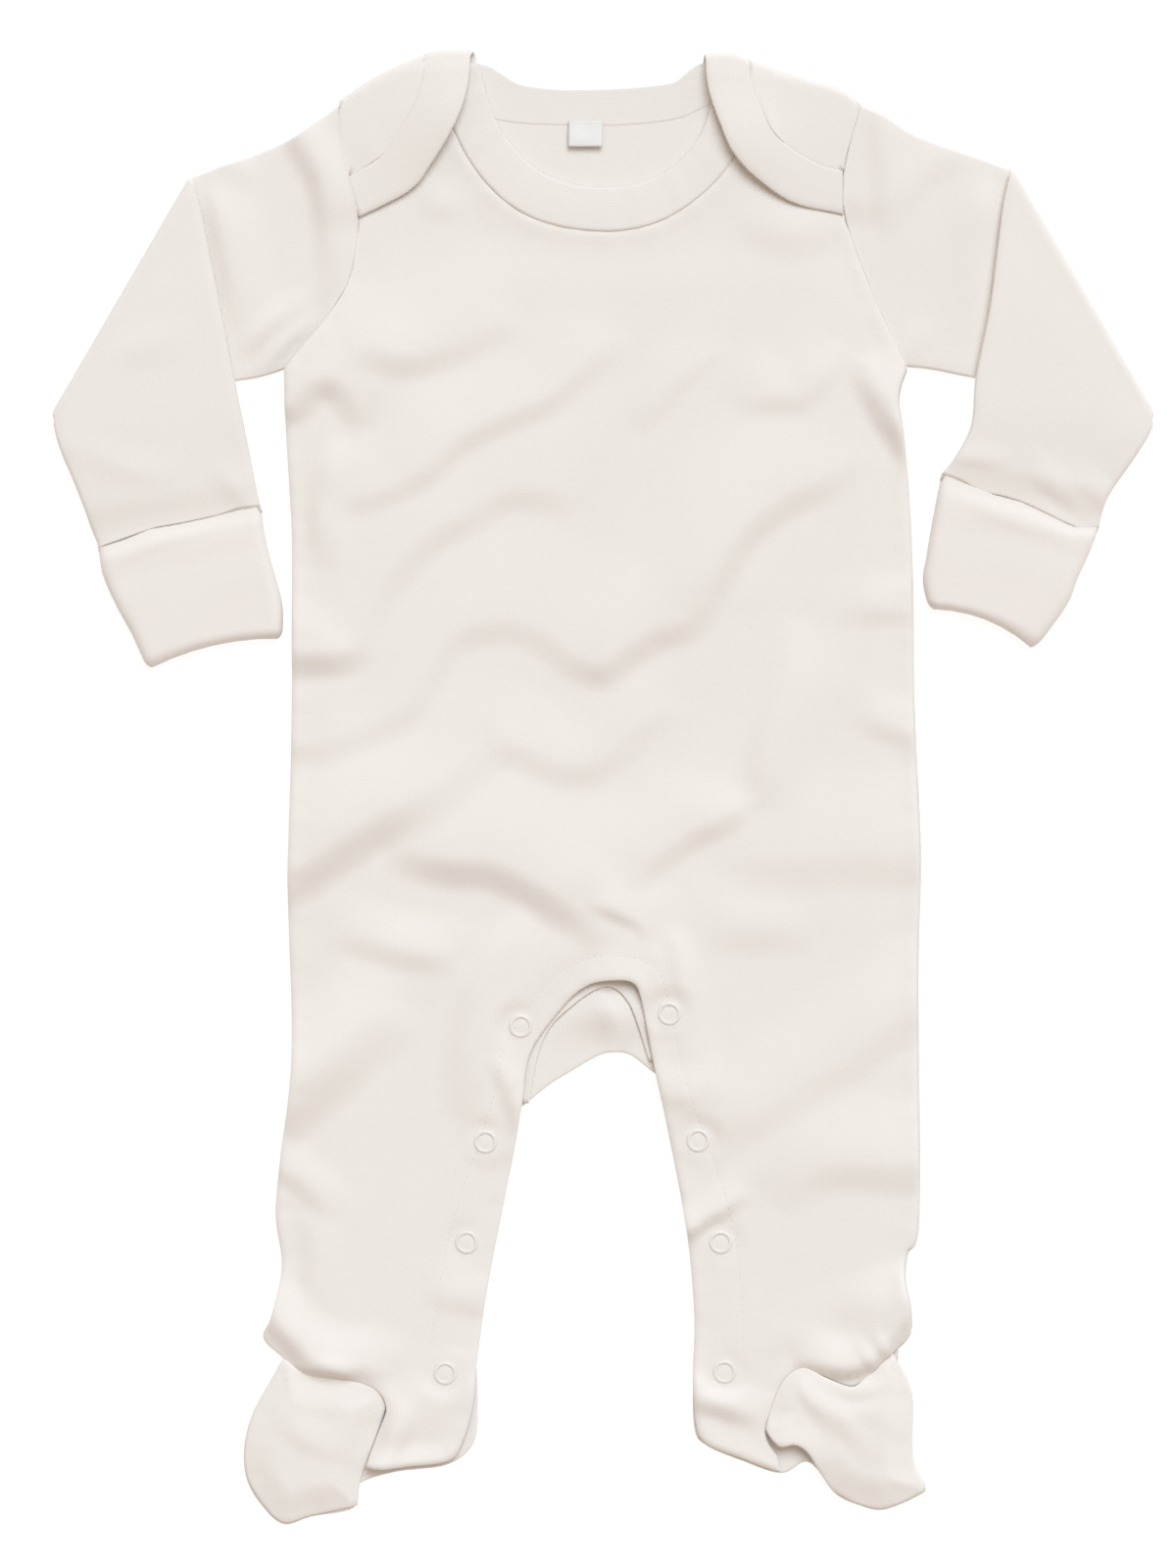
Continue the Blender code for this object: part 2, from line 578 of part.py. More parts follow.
def build_back(surface):
    """The back, with both legs and the two laps in one piece."""
    left_tip = Vector((LEFT_LAP[0].free_x, LEFT_LAP[0].free_y))
    right_tip = Vector((RIGHT_LAP[-1].free_x, RIGHT_LAP[-1].free_y))
    left_hole = armhole(LEFT_ARMHOLE)
    right_hole = armhole(RIGHT_ARMHOLE)
    left_lap_seam = below(seam_line(LEFT_LAP, LAP_SECTIONS), LEFT_SHOULDER)
    right_lap_seam = below(seam_line(RIGHT_LAP, LAP_SECTIONS), RIGHT_SHOULDER)
    left_lap_hole = [p for p in below(left_hole, LEFT_SHOULDER, 2) if p.y > left_lap_seam[0].y + 2]
    right_lap_hole = [p for p in below(right_hole, RIGHT_SHOULDER, 2) if p.y > right_lap_seam[-1].y + 2]
    left_outer_x = left_hole[0].x + SHOULDER_END_EASE
    right_outer_x = right_hole[0].x - SHOULDER_END_EASE
    left_lap_x = LEFT_LAP[-1].seam_x - WRAP_EASE
    left_neck_x = BACK_NECK[0].seam_x - WRAP_EASE
    right_lap_x = RIGHT_LAP[0].seam_x + WRAP_EASE
    right_neck_x = BACK_NECK[-1].seam_x + WRAP_EASE
    side_ease = Vector((0.8, 0))
    inseam_ease = Vector((1.5, 0))
    loop = closed(
        reverse(below(left_hole, LEFT_SHOULDER, 2)),
        fold_rows(LEFT_SHOULDER, left_outer_x, left_outer_x, True),
        [unfold(point, LEFT_SHOULDER) for point in left_lap_hole],
        [unfold(point, LEFT_SHOULDER) for point in left_lap_seam],
        fold_rows(LEFT_SHOULDER, left_neck_x, left_lap_x, False),
        seam_line(BACK_NECK, 20),
        fold_rows(RIGHT_SHOULDER, right_neck_x, right_lap_x, True),
        [unfold(point, RIGHT_SHOULDER) for point in right_lap_seam],
        [unfold(point, RIGHT_SHOULDER) for point in reverse(right_lap_hole)],
        fold_rows(RIGHT_SHOULDER, right_outer_x, right_outer_x, False),
        below(right_hole, RIGHT_SHOULDER, 2),
        [point + side_ease for point in spline(RIGHT_SIDE)[1:-1]],
        [Vector((117, ANKLE_SEAM_Y)), Vector((37, ANKLE_SEAM_Y))],
        [point + inseam_ease for point in reverse(spline(RIGHT_INSEAM, 20))[1:-1]],
        reverse(spline(BACK_ARCH)),
        [point - inseam_ease for point in spline(LEFT_INSEAM, 20)[1:-1]],
        [Vector((-52, ANKLE_SEAM_Y)), Vector((-128.5, ANKLE_SEAM_Y))],
        reverse(spline(LEFT_SIDE))[:-1],
    )
    inner = grid_inside(loop, BACK_GRID, 0.5 * BACK_GRID)
    inner = [p for p in inner if p.y < min(wrap_axis(LEFT_SHOULDER, p.x), wrap_axis(RIGHT_SHOULDER, p.x)) - 6
             or p.y < 240]
    rows = wrap_rows(LEFT_SHOULDER, left_outer_x, left_lap_x)
    rows += wrap_rows(RIGHT_SHOULDER, right_lap_x, right_outer_x)
    points, faces = triangulate(loop, inner, rows)
    shaped = []
    for point in points:
        if point.x < 0:
            shaped.append(wrap(point, LEFT_SHOULDER, left_tip))
        else:
            shaped.append(wrap(point, RIGHT_SHOULDER, right_tip))
    lowest = max(range(len(faces)), key=lambda i: -max(points[k].y for k in faces[i]))
    faces.insert(0, faces.pop(lowest))
    add_cloth("back_body", shaped, faces, CLOTH, surface, faces_up=False)


def front_loop():
    """Outline of the front, from the left underarm up and round."""
    left_hole = below(armhole(LEFT_ARMHOLE), LEFT_SHOULDER, 2)
    right_hole = below(armhole(RIGHT_ARMHOLE), RIGHT_SHOULDER, 2)
    left_top = [Vector((p.x, wrap_axis(LEFT_SHOULDER, p.x) - 1.5)) for p in spline(LEFT_SHOULDER, 12)]
    right_top = [Vector((p.x, wrap_axis(RIGHT_SHOULDER, p.x) - 1.5)) for p in spline(RIGHT_SHOULDER, 12)]
    neck_seam = seam_line(FRONT_NECK)
    return closed(
        reverse(left_hole),
        [p for p in left_top if left_hole[0].x < p.x < neck_seam[0].x - 2],
        neck_seam,
        [p for p in right_top if neck_seam[-1].x + 2 < p.x < right_hole[0].x],
        right_hole,
        spline(RIGHT_SIDE)[1:],
        spline(RIGHT_LEG_END, FINE_STEP)[1:],
        spline(RIGHT_HEEL, FINE_STEP)[1:],
        reverse(spline(RIGHT_INSEAM))[1:],
        reverse(spline(FRONT_ARCH, FINE_STEP))[1:],
        spline(LEFT_INSEAM)[1:],
        reverse(spline(LEFT_HEEL, FINE_STEP))[1:],
        reverse(spline(LEFT_LEG_END, FINE_STEP))[1:],
        reverse(spline(LEFT_SIDE))[1:],
    )


def front_top_function():
    """Height of the front's outer face: its loft, its folds, and its lift over the crotch facing."""
    loop = front_loop()
    folds = [(fold, fold_line(fold)) for fold in FRONT_FOLDS + ANKLE_FOLDS]
    arch = spline(FRONT_ARCH, FINE_STEP)
    lift = FACING + SEAM

    def top(point):
        loft = BODY_LOFT * smooth(clearance(point, loop) / 20) * smooth((222 - point.y) / 25)
        near_arch = min((point - other).length for other in arch)
        over_facing = lift * (1 - smooth((near_arch - 14) / 16))
        return FRONT_TOP + loft + over_facing + folded_height(folds, point)

    return top


def build_front(surface, top):
    return add_panel("front_body", front_loop(), FRONT_GRID, top, surface, rim=FRONT_RIM)


def build_crotch_facing(surface):
    """The facing under the front's crotch edge, which shows as a narrow line below it."""
    lower = spline(FACING_ARCH, FINE_STEP)
    upper = []
    for index, point in enumerate(lower):
        along = lower[min(index + 1, len(lower) - 1)] - lower[max(index - 1, 0)]
        upper.append(point + Vector((-along.y, along.x)).normalized() * 9)
    rows = [[(*high, FACING_TOP), (*low, FACING_TOP)] for high, low in zip(upper, lower)]
    add_strip("crotch_facing", rows, FACING, surface)


def band_rows(bands, top, count):
    """Rows across a band: free edge, two between, and seam edge, at the heights top(point)."""
    free = spline([(band.free_x, band.free_y) for band in bands], count=count)
    seam = spline([(band.seam_x, band.seam_y) for band in bands], count=count)
    rows = []
    for inner, outer in zip(free, seam):
        outer = outer + (inner - outer).normalized() * SEAM
        row = [inner.lerp(outer, share) for share in (0, 0.33, 0.67, 1)]
        rows.append([(point.x, point.y, top(point)) for point in row])
    return rows


def build_front_neck(surface):
    rows = band_rows(FRONT_NECK, lambda point: FRONT_RIB_TOP, 30)
    add_strip("neck_binding_front", [row[::-1] for row in rows], FRONT_RIB, surface)


def turn_rows(shoulder, lap_row, back_row, tops):
    """Rows of a band where it turns over a shoulder, from the lap to the back."""
    rows = []
    for quarter in range(4, -1, -1):
        angle = math.pi * quarter / 4
        row = []
        for lap_point, back_point in zip(lap_row, back_row):
            x = back_point[0] + (lap_point[0] - back_point[0]) * quarter / 4
            y = wrap_axis(shoulder, x) + FOLD_RADIUS * math.sin(angle)
            row.append((x, y, tops * (1 - math.cos(angle)) / 2))
        rows.append(row)
    return rows


def build_back_neck(surface):
    """The binding of the back neck, which runs on round the edge of each lap."""
    left_tip = Vector((LEFT_LAP[0].free_x, LEFT_LAP[0].free_y))
    right_tip = Vector((RIGHT_LAP[-1].free_x, RIGHT_LAP[-1].free_y))
    left = band_rows(LEFT_LAP, lambda point: lap_top(point, left_tip), LAP_SECTIONS)
    back = band_rows(BACK_NECK, lambda point: 0.0, 20)
    right = band_rows(RIGHT_LAP, lambda point: lap_top(point, right_tip), LAP_SECTIONS)
    left_turn = turn_rows(LEFT_SHOULDER, left[-1], back[0], LAP_TOP)
    right_turn = reverse(turn_rows(RIGHT_SHOULDER, right[0], back[-1], LAP_TOP))
    rows = left + left_turn + back + right_turn + right
    add_strip("neck_binding_back", [row[::-1] for row in rows], LAP_RIB, surface)


def across_points(line, half, inset):
    """Distances and heights round one half of a flattened tube: rounded at both edges, level between."""
    length = sum((b - a).length for a, b in zip(line, line[1:]))
    count = len(line) - 1
    corner = math.sqrt(0.5)
    radius = half - inset
    ends = [(inset, 0.0), (inset + radius * (1 - corner), radius * corner), (half, radius)]
    middle = [(length * index / count, radius) for index in range(1, count)]
    return ends + middle + [(length - distance, height) for distance, height in reversed(ends)]


def at_distance(line, distance):
    """The point of a polyline at a distance along it."""
    for before, after in zip(line, line[1:]):
        span = (after - before).length
        if distance <= span or after is line[-1]:
            return before.lerp(after, distance / span)
        distance -= span
    return line[-1]


def ring(line, half, inset, place):
    """Points round a flattened tube: along its upper side and back along its lower side."""
    profile = across_points(line, half, inset)
    upper = [place(at_distance(line, distance), height) for distance, height in profile]
    lower = [place(at_distance(line, distance), -height) for distance, height in profile[1:-1]]
    return upper + reverse(lower)


def skin(rings, closing, base):
    """Faces of one side of a tube. A closing line of points, if given, shuts the last ring."""
    size = len(rings[0])
    faces = []
    for row in range(len(rings) - 1):
        for index in range(size):
            after = (index + 1) % size
            faces.append((base + row * size + index, base + row * size + after,
                          base + (row + 1) * size + after, base + (row + 1) * size + index))
    if closing:
        last = base + (len(rings) - 1) * size
        half = size // 2
        folded = list(range(half + 1)) + list(range(half - 1, 0, -1))
        for index in range(size):
            after = (index + 1) % size
            corners = [last + index, last + after,
                       last + size + folded[after], last + size + folded[index]]
            faces.append(tuple(dict.fromkeys(corners)))
    return faces


def add_tube(name, outer, inner, surface, outer_closing=(), inner_closing=()):
    """A tube of cloth between outer and inner rings, open at its ends unless closing lines shut one."""
    size = len(outer[0])
    points = [point for loop in outer for point in loop] + list(outer_closing)
    faces = skin(outer, outer_closing, 0)
    base = len(points)
    points += [point for loop in inner for point in loop] + list(inner_closing)
    faces += [face[::-1] for face in skin(inner, inner_closing, base)]
    ends = [(base, 0)]
    if not outer_closing:
        ends.append(((len(outer) - 1) * size, base + (len(inner) - 1) * size))
    for first, second in ends:
        for index in range(size):
            after = (index + 1) % size
            faces.append((first + index, first + after, second + after, second + index))
    middle_of_top = size // 4
    faces.insert(0, faces.pop(middle_of_top))
    thing = add_object(name, points, faces, surface)
    if thing.data.polygons[0].normal.z < 0:
        thing.data.flip_normals()


def bend_of(points, count):
    """How far a curve departs from the straight line between its ends, at even steps."""
    curve = spline(points, count=count)
    return [point - base for point, base in zip(curve, resample([curve[0], curve[-1]], count))]


def build_sleeve(side, upper_arm, elbow, forearm, hole, wrist, underarm_line, puff_at, surface):
    """A sleeve pressed flat and folded over at the elbow, so that the forearm lies on the upper arm."""
    outward = Vector((-1 if side == "left" else 1, 0))
    armhole_bend = bend_of(hole, ACROSS_SLEEVE)
    wrist_bend = bend_of(wrist, ACROSS_SLEEVE)
    edge, far = (Vector(end) for end in underarm_line)
    down = Vector((far.y - edge.y, edge.x - far.x)).normalized()
    if down.y > 0:
        down = -down

    def section_line(row, bend, shift=Vector((0, 0))):
        line = resample([Vector((row.top_x, row.top_y)), Vector((row.under_x, row.under_y))], ACROSS_SLEEVE)
        return [point + offset * row.curve + shift for point, offset in zip(line, bend)]

    def turned_line(turn):
        """The elbow's section, whose ends reach on to the edges of the arm before and after the fold."""
        top = Vector((elbow.top_x, elbow.top_y))
        under = Vector((elbow.under_x, elbow.under_y))
        along = (under - top).normalized() * ELBOW_REACH
        return resample([top - along * max(math.cos(turn), 0), under + along * max(-math.cos(turn), 0)],
                        ACROSS_SLEEVE)

    def upper_place(half):
        def place(point, height):
            puff = SHOULDER_PUFF * math.exp(-((point - puff_at).length / SHOULDER_PUFF_WIDTH) ** 2)
            return (point.x, point.y, half + height + (puff if height > 0 else 0))
        return place

    radius = elbow.half + ELBOW_CLEARANCE
    heading = Vector((elbow.under_y - elbow.top_y, elbow.top_x - elbow.under_x)).normalized()
    if heading.dot(outward) < 0:
        heading = -heading

    def elbow_place(turn):
        def place(point, height):
            reach = (radius - height) * math.sin(turn)
            level = elbow.half + radius - (radius - height) * math.cos(turn)
            return (point.x + heading.x * reach, point.y + heading.y * reach, level)
        return place

    def forearm_place(half):
        def place(point, height):
            drop = smooth(((point - edge).dot(down) - ELBOW_DROP[0]) / ELBOW_DROP[1])
            return (point.x, point.y, half + 2 * radius * (1 - drop) - height)
        return place

    def rings(inset):
        found = []
        for row in upper_arm:
            shift = outward * ARMHOLE_GAP if row is upper_arm[0] else Vector((0, 0))
            line = section_line(row, armhole_bend, shift)
            found.append(ring(line, row.half, inset, upper_place(row.half)))
        for degrees in ELBOW_TURNS:
            turn = math.radians(degrees)
            found.append(ring(turned_line(turn), elbow.half, inset, elbow_place(turn)))
        for row in forearm:
            line = section_line(row, wrist_bend)
            found.append(ring(line, row.half, inset, forearm_place(row.half)))
        return found

    add_tube("sleeve_" + side, rings(0.0), rings(CLOTH), surface)


def build_mitt(side, rows, end, wrist, surface):
    """A doubled cuff folded shut over the hand, closed and rounded at its free end."""
    wrist_bend = bend_of(wrist, ACROSS_MITT)

    def section_line(row):
        line = resample([Vector((row.inner_x, row.inner_y)), Vector((row.outer_x, row.outer_y))],
                        ACROSS_MITT)
        span = line[-1] - line[0]
        inward = Vector((-span.y, span.x)).normalized()
        if inward.y < 0:
            inward = -inward
        bowed = []
        for index, (point, bend) in enumerate(zip(line, wrist_bend)):
            share = index / ACROSS_MITT
            bowed.append(point + bend * row.curve + inward * row.bow * 4 * share * (1 - share))
        return bowed

    def place(half):
        return lambda point, height: (point.x, point.y, half + height)

    line = section_line(end)
    across = line[-1] - line[0]
    inward = Vector((-across.y, across.x)).normalized()
    if inward.y < 0:
        inward = -inward

    def narrowed(inset, turn):
        """The end's line, moved back and drawn in at its corners by the share that a turn gives."""
        back = end.half - (end.half - inset) * math.sin(turn)
        corner = across.normalized() * MITT_CORNER * (1 - math.cos(turn))
        shifted = [point + inward * back for point in line]
        count = len(shifted) - 1
        return [point + corner * (1 - 2 * index / count) for index, point in enumerate(shifted)]

    def rings(inset):
        found = [ring(section_line(row), row.half, inset, place(row.half)) for row in rows]
        for degrees in (0, 45):
            turn = math.radians(degrees)
            lowered = math.cos(turn)
            found.append(ring(narrowed(inset, turn), end.half, inset,
                              lambda p, h: (p.x, p.y, end.half + h * lowered)))
        return found

    def closing(inset):
        shut = narrowed(inset, math.pi / 2)
        return [(*at_distance(shut, distance), end.half)
                for distance, _ in across_points(shut, end.half, inset)]

    add_tube("mitt_" + side, rings(0.0), rings(MITT_WALL), surface, closing(0.0), closing(MITT_WALL))


def foot_top_function(loop):
    def top(point):
        return FRONT_TOP + FOOT_LOFT * smooth(clearance(point, loop) / 13)
    return top


def offset_down(curve, distance):
    """A curve moved off to the side that faces the toes."""
    moved = []
    for index, point in enumerate(curve):
        along = curve[min(index + 1, len(curve) - 1)] - curve[max(index - 1, 0)]
        normal = Vector((along.y, -along.x)).normalized()
        if (curve[-1].x > curve[0].x) != (along.x * normal.y - along.y * normal.x < 0):
            normal = -normal
        moved.append(point + normal * distance)
    return moved


def build_foot(side, leg_end, meets_y, toe_edge, sole, surface):
    """The upper and the sole of one foot."""
    top_edge = offset_down([p for p in spline(leg_end, FINE_STEP) if p.y > meets_y], 1.2 * SEAM)
    loop = closed(top_edge, spline(toe_edge, FINE_STEP)[:-1])
    add_panel("foot_upper_" + side, loop, FOOT_GRID, foot_top_function(loop), surface, rim=FOOT_RIM)
    loop = closed(spline(sole, EDGE_STEP))
    add_panel("foot_sole_" + side, loop, BACK_GRID, lambda point: 0.0, surface, faces_up=False)


def build_label(surface):
    low, high = LABEL_BOX
    loop = [Vector((low.x, low.y)), Vector((high.x, low.y)), Vector((high.x, high.y)), Vector((low.x, high.y))]
    add_panel("size_label", loop, BACK_GRID, lambda point: LABEL_TOP, surface, LABEL_CLOTH)


def build_poppers(front, surface):
    """Ring caps of the poppers, seated on the front along both inseams."""
    cloth = BVHTree.FromPolygons([vertex.co for vertex in front.data.vertices],
                                 [polygon.vertices for polygon in front.data.polygons])

    def cloth_top(point):
        hit = cloth.ray_cast(Vector((*point, 0)) * MM + Vector((0, 0, 1)), Vector((0, 0, -1)))
        return hit[0].z / MM

    places = list(LEFT_POPPERS) + list(RIGHT_POPPERS)
    for number, place in enumerate(places, start=1):
        centre = Vector(place)
        rim = []
        for index in range(POPPER_SIDES):
            angle = 2 * math.pi * index / POPPER_SIDES
            rim.append(Vector((math.cos(angle), math.sin(angle))))
        floor = SEAM + max(cloth_top(centre + way * reach)
                           for way in rim for reach in (POPPER_INNER, POPPER_OUTER))
        profile = ((POPPER_INNER, 0), (POPPER_OUTER, 0), (POPPER_OUTER, 0.6), (POPPER_OUTER - 0.5, 1),
                   (POPPER_INNER + 0.3, 1), (POPPER_INNER, 0.6))
        points = [(*(centre + way * reach), floor + height * POPPER_HEIGHT)
                  for way in rim for reach, height in profile]
        faces = []
        size = len(profile)
        for index in range(POPPER_SIDES):
            start = index * size
            after = (index + 1) % POPPER_SIDES * size
            for corner in range(size):
                following = (corner + 1) % size
                faces.append((start + corner, after + corner, after + following, start + following))
        add_object("popper_%d" % number, points, faces, surface)


def main():
    for thing in list(bpy.data.objects):
        bpy.data.objects.remove(thing)
    cotton = material("cotton_interlock", CREAM)
    rib = material("neck_rib", RIB_CREAM)
    mitt = material("mitt_cotton", MITT_CREAM)
    cap = material("popper_cap", POPPER_CREAM, roughness=0.45)
    tag = material("label_satin", LABEL_WHITE, roughness=0.6)
    build_back(cotton)
    front = build_front(cotton, front_top_function())
    build_crotch_facing(cotton)
    build_front_neck(rib)
    build_back_neck(rib)
    build_sleeve("left", LEFT_UPPER_ARM, LEFT_ELBOW, LEFT_FOREARM, LEFT_ARMHOLE, LEFT_WRIST,
                 LEFT_UNDERARM_LINE, LEFT_PUFF_AT, cotton)
    build_sleeve("right", RIGHT_UPPER_ARM, RIGHT_ELBOW, RIGHT_FOREARM, RIGHT_ARMHOLE, RIGHT_WRIST,
                 RIGHT_UNDERARM_LINE, RIGHT_PUFF_AT, cotton)
    build_mitt("left", LEFT_MITT, LEFT_MITT_END, LEFT_WRIST, mitt)
    build_mitt("right", RIGHT_MITT, RIGHT_MITT_END, RIGHT_WRIST, mitt)
    build_foot("left", LEFT_LEG_END, LEFT_UPPER_MEETS_Y, LEFT_UPPER_TOE, LEFT_SOLE, cotton)
    build_foot("right", RIGHT_LEG_END, RIGHT_UPPER_MEETS_Y, RIGHT_UPPER_TOE, RIGHT_SOLE, cotton)
    build_label(tag)
    build_poppers(front, cap)


main()
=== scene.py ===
"""Looks of the footed baby sleepsuit: cotton shells, seams, stitches, poppers, light and camera.

Sizes are in millimetres until a mesh is made. +X is to the right of someone looking down at the front,
+Y is towards the neck and +Z is up. Each shell lies on the solid that it stands for: the tables and
curves below are the garment's own, drawn here with closer points and finer folds.
"""

import math
from collections import namedtuple
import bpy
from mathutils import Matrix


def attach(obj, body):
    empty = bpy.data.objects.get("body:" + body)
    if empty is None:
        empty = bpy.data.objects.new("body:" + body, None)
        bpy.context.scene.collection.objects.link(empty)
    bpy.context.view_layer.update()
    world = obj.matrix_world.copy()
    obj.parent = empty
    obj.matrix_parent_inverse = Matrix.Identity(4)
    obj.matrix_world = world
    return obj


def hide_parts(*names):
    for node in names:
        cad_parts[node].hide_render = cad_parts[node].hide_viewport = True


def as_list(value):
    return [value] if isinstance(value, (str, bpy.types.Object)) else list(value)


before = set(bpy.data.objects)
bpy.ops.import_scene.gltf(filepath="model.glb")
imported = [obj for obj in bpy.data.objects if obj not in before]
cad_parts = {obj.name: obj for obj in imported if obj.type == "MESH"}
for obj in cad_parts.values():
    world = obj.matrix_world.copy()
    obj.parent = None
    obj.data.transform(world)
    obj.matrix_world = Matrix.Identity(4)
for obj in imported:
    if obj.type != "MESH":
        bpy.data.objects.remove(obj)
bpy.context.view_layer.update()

from types import SimpleNamespace

import bpy
import numpy as np
from mathutils import Vector, geometry
from mathutils.bvhtree import BVHTree

MM = 0.001

# Thicknesses of the cloth, single or doubled, and the least gap between points that meet in a seam
CLOTH = 1.2
FRONT_RIB = 2.2
LAP_RIB = 1.3
MITT_WALL = 2.2
FACING = 1.0
LABEL_CLOTH = 0.6
SEAM = 0.4

# Heights of the outer faces above the surface
FRONT_TOP = 2.8
FRONT_RIB_TOP = 4.2
FOLD_RADIUS = 3.1
HALF_TURN = math.pi * FOLD_RADIUS
LAP_TOP = 2 * FOLD_RADIUS
LAP_TIP_TOP = 5.0
FACING_TOP = 2.6
LABEL_TOP = 2.6

# Distances between the points of curves and shells, and numbers of rows and points round a tube
STEP = 2.0
CREST_STEP = 1.5
CURVE_STEPS = 8
FRONT_GRID = 2.2
BACK_GRID = 3.4
LAP_GRID = 1.8
LAP_GRID_FROM_Y = 225
FOOT_GRID = 1.4
LABEL_GRID = 1.2
EDGE_ROWS = (0.35, 0.9, 1.7, 2.8)
ROW_KEPT = 0.93
ROW_GAP = 0.5
STITCH_ROWS = (-1.3, -0.65, 0.0, 0.65, 1.3)
SPOT_RINGS = (1.0, 2.0, 3.0, 4.2, 5.4, 6.6, 8.0)
SPOT_POINTS = 7
BATCH = 2500
MERGED = 1e-5
LABEL_STEPS = 12
WRAP_ROWS = 12
FOLD_STEPS = 5
ROUND_SLEEVE = 22
ROUND_MITT = 26
ELBOW_ROWS = 12
END_ROWS = 6
ACROSS_SLEEVE = 8
ACROSS_MITT = 6
UPPER_ARM_STEPS = 9
FOREARM_STEPS = 8
MITT_STEPS = 12
EDGE_POINTS = 5

# Rows of the tables below: one section of a neckband, from its free edge to its seam; one of an arm,
# from its top to its under edge; and one of a mitt. "curve" is the share that the section takes of the
# bend of the armhole or wrist, "bow" the inward bow of a mitt's free end, and "half" half the thickness.
Band = namedtuple("Band", "free_x free_y seam_x seam_y")
Sleeve = namedtuple("Sleeve", "top_x top_y under_x under_y curve half")
Mitt = namedtuple("Mitt", "inner_x inner_y outer_x outer_y curve bow half")

# A fold runs through its points, each x, y and height. It is a slope that drops on its right-hand side,
# seen from its first point, by that height over the width "fall", and eases back over "rise" on the left.
Fold = namedtuple("Fold", "fall rise points")


def fold(fall, rise, *points):
    return Fold(fall, rise, points)


